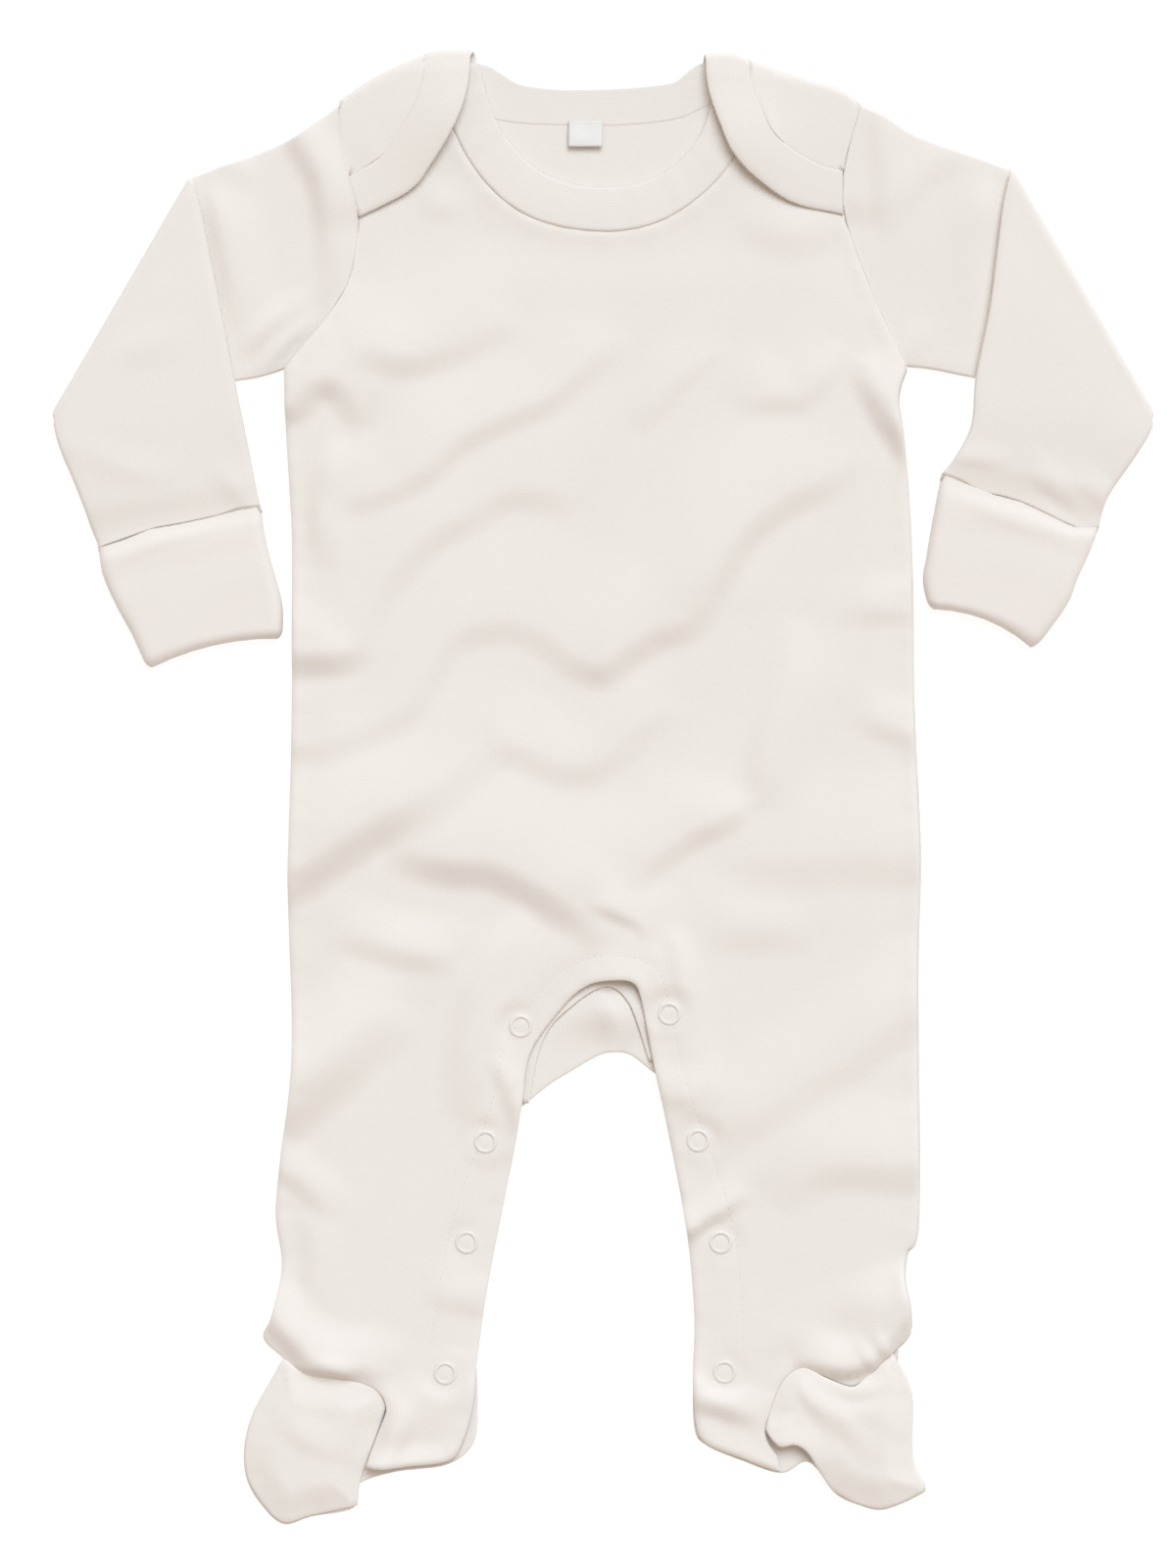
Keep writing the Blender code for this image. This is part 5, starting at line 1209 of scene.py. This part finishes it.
def add_band(name, node, rings, surface):
    """A solid band through rings, with its two ends capped."""
    size = len(rings[0])
    faces = solid_faces(len(rings), size)
    band = add_closed(name, np.concatenate(rings), faces, surface, ring_pattern(rings))
    width = max(NARROWEST_CUT, *(np.linalg.norm(row[0] - row[size // 2]) for row in rings))
    declare_rings(band, node, rings, width)


def add_tube(name, node, walls, surface, closing=()):
    """A tube of cloth between an outer and an inner wall of rings.

    A closing line for each wall shuts its far end.
    """
    size = len(walls[0][0])
    index = np.arange(size)
    after = (index + 1) % size
    folded = np.minimum(index, size - index)
    points, pattern, faces, closers, starts, lasts = [], [], [], [], [], []
    for wall, rings in enumerate(walls):
        starts.append(sum(map(len, points)))
        lasts.append(starts[-1] + (len(rings) - 1) * size)
        turned = slice(None, None, -1 if wall else 1)
        faces += [group[:, turned] for group in between_rings(len(rings), size, starts[-1])]
        points += rings
        pattern.append(ring_pattern(rings))
        if closing:
            last = lasts[-1]
            shut = [last + index, last + after, last + size + folded[after], last + size + folded]
            closers.append(np.stack(shut, axis=1)[:, turned])
            points.append(closing[wall])
            pattern.append(np.zeros((len(closing[wall]), 2)))
    ends = [(starts, -1)] if closing else [(starts, -1), (lasts, 1)]
    for (outer, inner), turn in ends:
        rim = np.stack([outer + index, outer + after, inner + after, inner + index], axis=1)
        faces.append(rim if turn > 0 else rim[:, [1, 0, 3, 2]])
    faces += closers
    tube = add_closed(name, np.concatenate(points), faces, surface, np.concatenate(pattern))
    outer = walls[0]
    declare_rings(tube, node, outer, run_of(outer[len(outer) // 2])[-1])


# Bands

def build_facing(surface):
    """The facing under the front's crotch edge, which shows as a narrow line below it."""
    lower = curve(FACING_ARCH)
    upper = lower + normals(lower) * FACING_WIDTH
    rings = []
    for line in np.stack([upper, lower], axis=1):
        place = level_place(FACING_TOP - FACING / 2 + back_lift(line[1:])[0])
        rings.append(ring(line, FACING / 2, 0.0, ROUND_FACING, place))
    add_band("crotch_facing_shell", "crotch_facing", rings, surface)


def band_lines(bands, count):
    """Lines across a band at even steps, each from its seam edge to its free edge."""
    free = curve([(band.free_x, band.free_y) for band in bands], count=count)
    seam = curve([(band.seam_x, band.seam_y) for band in bands], count=count)
    inward = (free - seam) / np.linalg.norm(free - seam, axis=1)[:, None]
    return np.stack([seam - inward * SEWN_OVERLAP, free], axis=1)


def crowned(place, thinning=0.0, turned=0.0):
    """A place that lifts the middle of a band's upper side a little, thins it and rolls its free edge."""
    def lifted(points, heights):
        reach = np.linalg.norm(points - points[0], axis=1)
        share = reach / BAND_WIDTH
        bulge = BAND_CROWN * np.sin(math.pi * np.clip(share, 0, 1)) - thinning * share ** THINNING_POWER
        bulge -= roll(reach[len(reach) // 2:].max() - reach, turned, FREE_ROLL[1])
        return place(points, heights + np.where(heights > 0, bulge, 0))
    return lifted


def build_front_neck(surface):
    half = FRONT_RIB / 2
    rings = []
    for number, line in enumerate(band_lines(FRONT_NECK, FRONT_NECK_STEPS)):
        fast, slow = (math.sin(number * turn) for turn in WOBBLE_TURNS)
        level = FRONT_RIB_TOP - half + BAND_WOBBLE * fast * slow - FRONT_BAND_SINK
        place = crowned(level_place(level), FRONT_THINNING)
        rings.append(ring(line, half, 0.0, ROUND_FRONT_BAND, place, FRONT_CORNERS))
    add_band("front_neckband", "neck_binding_front", rings, surface)


def build_back_neck(surface):
    """The binding of the back neck, which runs on round the edge of each lap."""
    half = LAP_RIB / 2
    left = band_lines(LEFT.lap, LEFT_LAP_STEPS)
    back = band_lines(BACK_NECK, BACK_NECK_STEPS)
    right = band_lines(RIGHT.lap, RIGHT_LAP_STEPS)

    def band_ring(line, place):
        return ring(line, half, 0.0, ROUND_BACK_BAND, place, BAND_CORNERS)

    def lap_rings(lines, side):
        def place(points, heights):
            return np.column_stack([points, lap_top(points, side) - half + heights])
        return [band_ring(line, crowned(place, turned=FREE_ROLL[0])) for line in lines]

    def turn_rings(side, lap_line, back_line):
        """Rings where the band turns over a shoulder, from the lap to the back."""
        def turned_place(angle):
            def place(points, heights):
                radius = FOLD_RADIUS - half + heights
                y = wrap_axis(side, points[:, 0]) + radius * math.sin(angle)
                return np.column_stack([points[:, 0], y, FOLD_RADIUS - radius * math.cos(angle)])
            return place

        found = []
        for share in np.linspace(1, 0, BAND_TURN_ROWS):
            line = back_line + (lap_line - back_line) * share
            found.append(band_ring(line * (1, 0), turned_place(math.pi * share)))
        return found

    def under_back(points, heights):
        return np.column_stack([points, half - heights])

    rings = lap_rings(left, LEFT) + turn_rings(LEFT, left[-1], back[0])
    rings += [band_ring(line, under_back) for line in back]
    rings += turn_rings(RIGHT, right[0], back[-1])[::-1] + lap_rings(right, RIGHT)
    add_band("back_neckband", "neck_binding_back", rings, surface)


# Sleeves and mitts

def bend_of(points, count):
    """How far a curve departs from the straight line between its ends, at even steps."""
    line = curve(points, count=count)
    return line - np.linspace(line[0], line[-1], count + 1)


def section(row, bend):
    """The line across a tube at one row of its table, with its share of a bend."""
    return np.linspace(row[:2], row[2:4], len(bend)) + bend * row[4]


def build_sleeve(side, surface):
    """A sleeve pressed flat and folded over at the elbow, so that the forearm lies on the upper arm."""
    outward = np.array([side.outward, 0])
    elbow = side.elbow
    radius = elbow.half + ELBOW_CLEARANCE
    top, under = np.array(elbow[:2]), np.array(elbow[2:4])
    heading = square_to(top, under, outward)
    edge, far = np.array(side.underarm, float)
    down = square_to(edge, far, TO_FEET)
    hole_bend = bend_of(side.armhole, ACROSS_SLEEVE)
    wrist_bend = bend_of(side.wrist, ACROSS_SLEEVE)
    wrist_middle = curve(side.wrist).mean(axis=0)
    inner_edge = np.array([row[:2] for row in side.forearm])
    inner_edge = np.concatenate([[inner_edge[0] + (inner_edge[0] - inner_edge[1]) * 3], inner_edge])
    forearm_edge = curve(inner_edge)

    def turned_line(turn):
        """The elbow's section, whose ends reach on to the edges of the arm before and after the fold."""
        along = unit(under - top) * ELBOW_REACH
        return np.linspace(top - along * max(math.cos(turn), 0), under + along * max(-math.cos(turn), 0),
                           ACROSS_SLEEVE + 1)

    def upper_place(half, level):
        """Places of the upper arm. Its top rises beside the armhole to the height of what it is sewn to."""
        def place(points, heights):
            beside = bell(to_line(points, side.hole)[0], ARMHOLE_EASE)
            by_lap = eased(points[:, 1] - side.tip[1], *LAP_TIP_EASE)
            sewn_to = FRONT_TOP + SEWN_RISE + (lap_top(points, side) - FRONT_TOP - BESIDE_LAP) * by_lap
            free = smooth(to_line(points, forearm_edge)[2] * -side.outward / UNDER_FOREARM)
            raised = (fold_heights(side.arm_folds, points) + uneven(points, *UPPER_ARM_RIPPLE)) * free
            raised += (sewn_to - 2 * half) * beside
            return np.column_stack([points, level + heights + np.where(heights > 0, raised, 0)])
        return place

    def elbow_place(turn):
        def place(points, heights):
            reach = (radius - heights) * math.sin(turn) * ELBOW_FLATNESS
            level = elbow.half + radius - (radius - heights) * math.cos(turn)
            return np.column_stack([points + heading * reach[:, None], level])
        return place

    def forearm_place(level):
        """Places of the forearm. Its underside comes down past the upper arm, and its top more gently."""
        def place(points, heights):
            on_top = heights < 0
            past = (points - edge) @ down - ELBOW_DROP[0]
            top_drop = FOREARM_SINK / (2 * radius) * smooth(past / FOREARM_SINK_REACH)
            high = 2 * radius * (1 - np.where(on_top, top_drop, smooth(past / ELBOW_DROP[1])))
            to_wrist = eased((points - wrist_middle) @ down, -WRIST_EASE, WRIST_EASE) * on_top
            high = high + (2 * WRIST_HALF - 2 * level - high) * to_wrist
            raised = fold_heights(side.forearm_folds, points) + uneven(points, *FOREARM_RIPPLE)
            return np.column_stack([points, level + high - heights + np.where(on_top, raised, 0)])
        return place

    before, beyond = turned_line(0.0), turned_line(math.pi)
    upper_rows = through([*side.upper_arm, (*before[0], *before[-1], 0, elbow.half)], UPPER_ARM_STEPS)
    forearm_rows = through([(*beyond[0], *beyond[-1], 0, elbow.half), *side.forearm], FOREARM_STEPS)

    # Each section's line, half thickness, thickest wall, place and corners
    first, half = section(upper_rows[0], hole_bend), upper_rows[0][5]
    sections = [(first - outward * ARMHOLE_REACH, ARMHOLE_TUCK, ARMHOLE_WALL, level_place(ARMHOLE_LEVEL),
                 EVEN_CORNERS)]
    for reach, share in ARMHOLE_CLOSING:
        sections.append((first + outward * reach, half * share, CLOSING_WALL * half,
                         upper_place(half * share, half), EVEN_CORNERS))
    for row in upper_rows[1:-1]:
        sections.append((section(row, hole_bend), row[5], CLOTH, upper_place(row[5], row[5]), EVEN_CORNERS))
    for turn in np.linspace(0, math.pi, ELBOW_ROWS + 1):
        sections.append((turned_line(turn), elbow.half, CLOTH, elbow_place(turn), EVEN_CORNERS))
    for row in forearm_rows[1:]:
        sections.append((section(row, wrist_bend), row[5], CLOTH, forearm_place(row[5]), FOREARM_CORNERS))
    last, half = section(forearm_rows[-1], wrist_bend), forearm_rows[-1][5]
    toward_hand = square_to(last[0], last[-1], TO_FEET)
    for reach, share, wall in WRIST_CLOSING:
        sections.append((last + toward_hand * reach, half * share, wall * half * share, forearm_place(half),
                         FOREARM_CORNERS))
    walls = [[ring(line, half, min(inset, wall), ROUND_SLEEVE, place, corners)
              for line, half, wall, place, corners in sections] for inset in (0.0, CLOTH)]
    add_tube("sleeve_%s_shell" % side.name, "sleeve_" + side.name, walls, surface)


def build_mitt(side, surface):
    """A doubled cuff folded shut over the hand, closed and rounded at its free end."""
    end = side.mitt_end
    wrist_bend = bend_of(side.wrist, ACROSS_MITT)
    table = through([*side.mitt, end], MITT_STEPS)
    inward = -square_to(end[2:4], end[:2], TO_FEET)
    share = np.linspace(0, 1, ACROSS_MITT + 1)[:, None]

    def mitt_section(row):
        return section(row, wrist_bend) + inward * row[5] * 4 * share * (1 - share)

    def level_lowered(level, lowered=1.0):
        def place(points, heights):
            raised = fold_heights(MITT_FOLDS, points) + uneven(points, *MITT_RIPPLE)
            return np.column_stack([points, level + lowered * (heights + np.where(heights > 0, raised, 0))])
        return place

    run = run_of(np.array([mitt_section(row).mean(axis=0) for row in table]))

    def row_at(distance):
        return np.array([np.interp(distance, run, column) for column in table.T])

    def narrowed(inset, turn):
        """The section near the end, drawn in at its corners, as the cloth turns over by an angle."""
        line = mitt_section(row_at(run[-1] - end.half + (end.half - inset) * math.sin(turn)))
        corner = unit(line[-1] - line[0]) * MITT_CORNER * (1 - math.cos(turn))
        return line + corner * np.linspace(1, -1, len(line))[:, None]

    def rings(inset):
        found = []
        rows = np.arange(MITT_ROWS_FROM, run[-1] - end.half - MITT_END_GAP, MITT_ROW_STEP)
        for distance in (*MITT_SEAM_STEPS, *rows):
            row = row_at(distance)
            grown = eased(distance, *MITT_SEAM_EASE)
            half = MITT_SEAM_HALF + (row[6] + MITT_BULGE - MITT_SEAM_HALF) * grown
            half -= MITT_BULGE * eased(distance, *BULGE_FALL)
            wall = min(inset, half - MITT_SEAM_HALF + MITT_SEAM_WALL)
            found.append(ring(mitt_section(row), half, wall, ROUND_MITT, level_lowered(half)))
        for turn in np.linspace(0, math.pi / 2, END_ROWS + 1)[:-1]:
            place = level_lowered(end.half, math.cos(turn))
            found.append(ring(narrowed(inset, turn), end.half, inset, ROUND_MITT, place))
        return found

    def closing(inset):
        shut = narrowed(inset, math.pi / 2)
        distances, _ = profile(run_of(shut)[-1], end.half, inset, ROUND_MITT, EVEN_CORNERS)
        points = at(shut, distances)
        return np.column_stack([points, np.full(len(points), end.half)])

    insets = (0.0, MITT_WALL)
    add_tube("mitt_%s_shell" % side.name, "mitt_" + side.name, [rings(inset) for inset in insets], surface,
             [closing(inset) for inset in insets])


# Poppers and stitches

def build_poppers(surface, levels):
    """Ring caps of the poppers, each a rounded ring pressed through the cloth."""
    index = np.arange(POPPER_SIDES)
    after = (index + 1) % POPPER_SIDES
    last = (len(POPPER_PROFILE) - 1) * POPPER_SIDES
    faces = between_rings(len(POPPER_PROFILE), POPPER_SIDES)
    faces.append(np.stack([last + index, last + after, after, index], axis=1))
    for number, (centre, level) in enumerate(zip(POPPERS, levels), start=1):
        points = np.concatenate([np.column_stack([circle(centre, reach, POPPER_SIDES),
                                                  np.full(POPPER_SIDES, level + rise)])
                                 for reach, rise in POPPER_PROFILE])
        cap = add_closed("popper_%d_cap" % number, points, faces, surface, points[:, :2])
        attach(cap, "root")
        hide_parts("popper_%d" % number)


def build_stitches(front, line, surface):
    """The row of thread stitches that lie on the front along a line."""
    mesh = front.data
    tree = BVHTree.FromPolygons([vertex.co for vertex in mesh.vertices],
                                [tuple(polygon.vertices) for polygon in mesh.polygons])
    angles = np.linspace(0, 2 * math.pi, STITCH_SIDES, endpoint=False)
    points, faces = [], []
    for number in range(int(run_of(line)[-1] / (STITCH_LENGTH + STITCH_GAP))):
        half_way = number * (STITCH_LENGTH + STITCH_GAP) + STITCH_LENGTH / 2
        middle, ahead = at(line, [half_way, half_way + STITCH_HEADING])
        level = tree.ray_cast(Vector((*middle * MM, 1.0)), Vector((0, 0, -1)))[0].z / MM
        along = unit(ahead - middle)
        side = np.array([-along[1], along[0]])
        faces += solid_faces(len(STITCH_PROFILE), STITCH_SIDES, len(points) * STITCH_SIDES)
        for reach, size, sink in STITCH_PROFILE:
            radius = STITCH_THICKNESS / 2 * size
            flat = middle + along * reach * STITCH_LENGTH + side * (np.cos(angles) * radius)[:, None]
            points.append(np.column_stack([flat, level + STITCH_RISE - sink + np.sin(angles) * radius]))
    points = np.concatenate(points)
    stitches = add_closed("placket_stitches", points, faces, surface, points[:, :2])
    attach(stitches, "root")


# Pieces of cloth: what each is sewn from, and attaching each in place of its part

Sewn = namedtuple("Sewn", "slot held rests_on")
SEWN = {
    "back_body": Sewn("cotton_interlock", "laid", ["floor"]),
    "front_body": Sewn("cotton_interlock", "laid", ["back_shell"]),
    "crotch_facing": Sewn("cotton_interlock", "laid", ["back_shell"]),
    "neck_binding_front": Sewn("neck_rib", "laid", ["back_shell"]),
    "neck_binding_back": Sewn("neck_rib", "laid", ["floor", "front_shell"]),
    "sleeve_left": Sewn("cotton_interlock", "folded", ["floor"]),
    "sleeve_right": Sewn("cotton_interlock", "folded", ["floor"]),
    "mitt_left": Sewn("mitt_cotton", "laid", ["floor"]),
    "mitt_right": Sewn("mitt_cotton", "laid", ["floor"]),
    "foot_upper_left": Sewn("cotton_interlock", "laid", ["foot_sole_left_shell"]),
    "foot_upper_right": Sewn("cotton_interlock", "laid", ["foot_sole_right_shell"]),
    "foot_sole_left": Sewn("cotton_interlock", "laid", ["floor"]),
    "foot_sole_right": Sewn("cotton_interlock", "laid", ["floor"]),
    "size_label": Sewn("label_satin", "laid", ["back_shell"]),
}


def declare(piece, node, area):
    """Attach a piece of cloth to the root and hide the part that it stands for. Its area is not used."""
    sewn = SEWN[node]
    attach(piece, "root")
    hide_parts(node)
    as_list(sewn.rests_on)


def declare_panel(piece, node, pattern, loop):
    declare(piece, node, abs(signed_area(loop)))


# Materials

class Nodes:
    """A short way to write a material's nodes."""

    def __init__(self, name):
        self.material = bpy.data.materials.new(name)
        self.material.use_nodes = True
        self.tree = self.material.node_tree
        self.shader = self.tree.nodes["Principled BSDF"]
        self.place = self.add("ShaderNodeTexCoord").outputs["Object"]

    def add(self, kind, inputs=(), **settings):
        """A node with settings, and with inputs that are values or links from other nodes."""
        node = self.tree.nodes.new(kind)
        for key, value in settings.items():
            setattr(node, key, value)
        self.feed(node, dict(inputs))
        return node

    def feed(self, node, inputs):
        for name, value in inputs.items():
            if isinstance(value, bpy.types.NodeSocket):
                self.tree.links.new(value, node.inputs[name])
            else:
                node.inputs[name].default_value = value

    def math(self, operation, *values):
        return self.add("ShaderNodeMath", enumerate(values), operation=operation).outputs[0]

    def noise(self, scale, detail, rough=0.5):
        return self.add("ShaderNodeTexNoise", {"Scale": scale, "Detail": detail, "Roughness": rough,
                                               "Vector": self.place}).outputs["Fac"]

    def spread(self, value, **limits):
        """A value mapped from one range to another."""
        inputs = {name.replace("_", " ").title(): limit for name, limit in limits.items()}
        return self.add("ShaderNodeMapRange", {"Value": value, **inputs}).outputs["Result"]

    def relief(self, height, strength, distance):
        bump = self.add("ShaderNodeBump", {"Strength": strength, "Distance": distance, "Height": height})
        self.feed(self.shader, {"Normal": bump.outputs["Normal"]})

    def tone(self, amount, color, dark, light):
        """The shader's colour, between a darker and a lighter tone of one colour."""
        ends = [(*(min(channel * share, 1) for channel in color), 1) for share in (dark, light)]
        mix = self.add("ShaderNodeMix", data_type="RGBA")
        self.feed(mix, {"A": ends[0], "B": ends[1], "Factor": amount})
        self.feed(self.shader, {"Base Color": mix.outputs["Result"]})


def knit_material(name, color, wale, course, depth, loop_share=0.6):
    """Cotton knit: columns of small stitches along the cloth's length, softly uneven in tone, with painted
    shade in their grooves.

    Wale and course are the width and height of a stitch in metres.
    """
    nodes = Nodes(name)
    math_of = nodes.math
    pattern = nodes.add("ShaderNodeUVMap", uv_map="pattern").outputs["UV"]
    wander = nodes.noise(180.0, 1.0)
    shift = math_of("MULTIPLY", math_of("SUBTRACT", wander, 0.5), 0.0009)
    split = nodes.add("ShaderNodeSeparateXYZ", {0: pattern})
    column = math_of("MULTIPLY", math_of("ADD", split.outputs["X"], shift), 2 * math.pi / wale)
    row = math_of("MULTIPLY", math_of("ADD", split.outputs["Y"], shift), 2 * math.pi / course)
    ridge = math_of("ABSOLUTE", math_of("SINE", math_of("MULTIPLY", column, 0.5)))
    slant = math_of("MULTIPLY", math_of("SINE", column), 1.1)
    loop = math_of("MULTIPLY_ADD", math_of("SINE", math_of("ADD", row, slant)), 0.5, 0.5)
    stitch = math_of("ADD", math_of("MULTIPLY", ridge, 1 - loop_share), math_of("MULTIPLY", loop, loop_share))
    fuzz = nodes.noise(1400.0, 3.0, 0.7)
    nodes.relief(math_of("MULTIPLY_ADD", fuzz, 0.45, stitch), depth, 0.00012)
    cloudy = nodes.noise(26.0, 3.0, 0.55)
    # Painted shade: the colour is darker where the stitch pattern is low, in its grooves, and it also varies
    # at random with the cloudy and fuzz noises.
    groove_shade_and_tone = math_of("MULTIPLY_ADD", cloudy, 0.25, math_of("MULTIPLY_ADD", stitch, 0.3, fuzz))
    nodes.tone(nodes.spread(groove_shade_and_tone, from_min=0.45, from_max=1.05), color, 0.955, 1.025)
    nodes.feed(nodes.shader, {
        "Roughness": nodes.spread(stitch, to_min=0.96, to_max=0.84), "Specular IOR Level": 0.25,
        "Sheen Weight": 0.2, "Sheen Roughness": 0.55, "Sheen Tint": (1, 0.97, 0.93, 1),
    })
    return nodes.material


def plain_material(name, color, roughness, grain, sheen=0.0, weave=0.0):
    """Thread, plastic or satin: a fine grain in tone, roughness and relief."""
    nodes = Nodes(name)
    speckle = nodes.noise(grain, 3.0, 0.6)
    height = speckle
    if weave:
        wave = nodes.add("ShaderNodeTexWave", {"Scale": weave, "Distortion": 0.4, "Vector": nodes.place},
                         bands_direction="Y")
        height = nodes.math("MULTIPLY_ADD", speckle, 0.4, wave.outputs["Fac"])
    nodes.relief(height, 0.35, 0.00005)
    nodes.tone(speckle, color, 0.95, 1.03)
    rough = nodes.math("MULTIPLY_ADD", speckle, 0.16, roughness - 0.08)
    nodes.feed(nodes.shader, {"Roughness": rough, "Sheen Weight": sheen})
    return nodes.material


# Floor, light and camera

def add_floor():
    mesh = bpy.data.meshes.new("floor")
    half, level = FLOOR_HALF, -FLOOR_DROP * MM
    corners = [(-half, -half, level), (half, -half, level), (half, half, level), (-half, half, level)]
    mesh.from_pydata(corners, [], [(0, 1, 2, 3)])
    floor = add_to_scene("floor", mesh)
    material = bpy.data.materials.new("floor_white")
    material.use_nodes = True
    shader = material.node_tree.nodes["Principled BSDF"]
    shader.inputs["Base Color"].default_value = FLOOR_GREY
    shader.inputs["Roughness"].default_value = 0.9
    shader.inputs["Specular IOR Level"].default_value = 0.1
    shader.inputs["Emission Color"].default_value = (1, 1, 1, 1)
    shader.inputs["Emission Strength"].default_value = FLOOR_GLOW
    mesh.materials.append(material)


def add_light_and_camera():
    scene = bpy.context.scene
    scene.view_settings.view_transform = "Standard"
    world = bpy.data.worlds.new("studio")
    world.use_nodes = True
    background = world.node_tree.nodes["Background"]
    background.inputs["Color"].default_value = WORLD_TINT
    background.inputs["Strength"].default_value = WORLD_LIGHT
    scene.world = world
    softbox = bpy.data.lights.new("softbox", "SUN")
    softbox.energy = SOFTBOX_LIGHT
    softbox.angle = math.radians(SOFTBOX_SPREAD)
    softbox.color = SOFTBOX_TINT
    add_to_scene("softbox", softbox).rotation_euler = Vector(SOFTBOX_FROM).to_track_quat("Z", "Y").to_euler()
    camera = bpy.data.cameras.new("camera")
    camera.sensor_fit = "VERTICAL"
    camera.sensor_height = SENSOR
    camera.lens = SENSOR * CAMERA_HEIGHT / PHOTO_LENGTH
    camera.clip_end = CAMERA_FAR
    scene.camera = add_to_scene("camera", camera)
    scene.camera.location = (CAMERA_X * MM, CAMERA_Y * MM, CAMERA_HEIGHT * MM)


def main():
    cotton = knit_material("cotton_interlock", CREAM, 0.0008, 0.0007, 0.35)
    rib = knit_material("neck_rib", RIB_CREAM, 0.001, 0.0008, 0.5, loop_share=0.35)
    cuff = knit_material("mitt_cotton", MITT_CREAM, 0.0008, 0.0007, 0.35)
    thread = plain_material("thread", THREAD_CREAM, 0.7, 900.0, sheen=0.1)
    cap = plain_material("popper_cap", POPPER_CREAM, 0.42, 500.0)
    satin = plain_material("label_satin", LABEL_WHITE, 0.5, 700.0, sheen=0.15, weave=900.0)
    for side in SIDES:
        add_curves(side)
    build_back(cotton)
    front, placket, popper_levels = build_front(cotton)
    build_facing(cotton)
    build_front_neck(rib)
    build_back_neck(rib)
    for build, surface in ((build_sleeve, cotton), (build_mitt, cuff), (build_foot, cotton)):
        for side in SIDES:
            build(side, surface)
    build_label(satin)
    build_poppers(cap, popper_levels)
    build_stitches(front, placket, thread)
    add_floor()
    add_light_and_camera()


main()
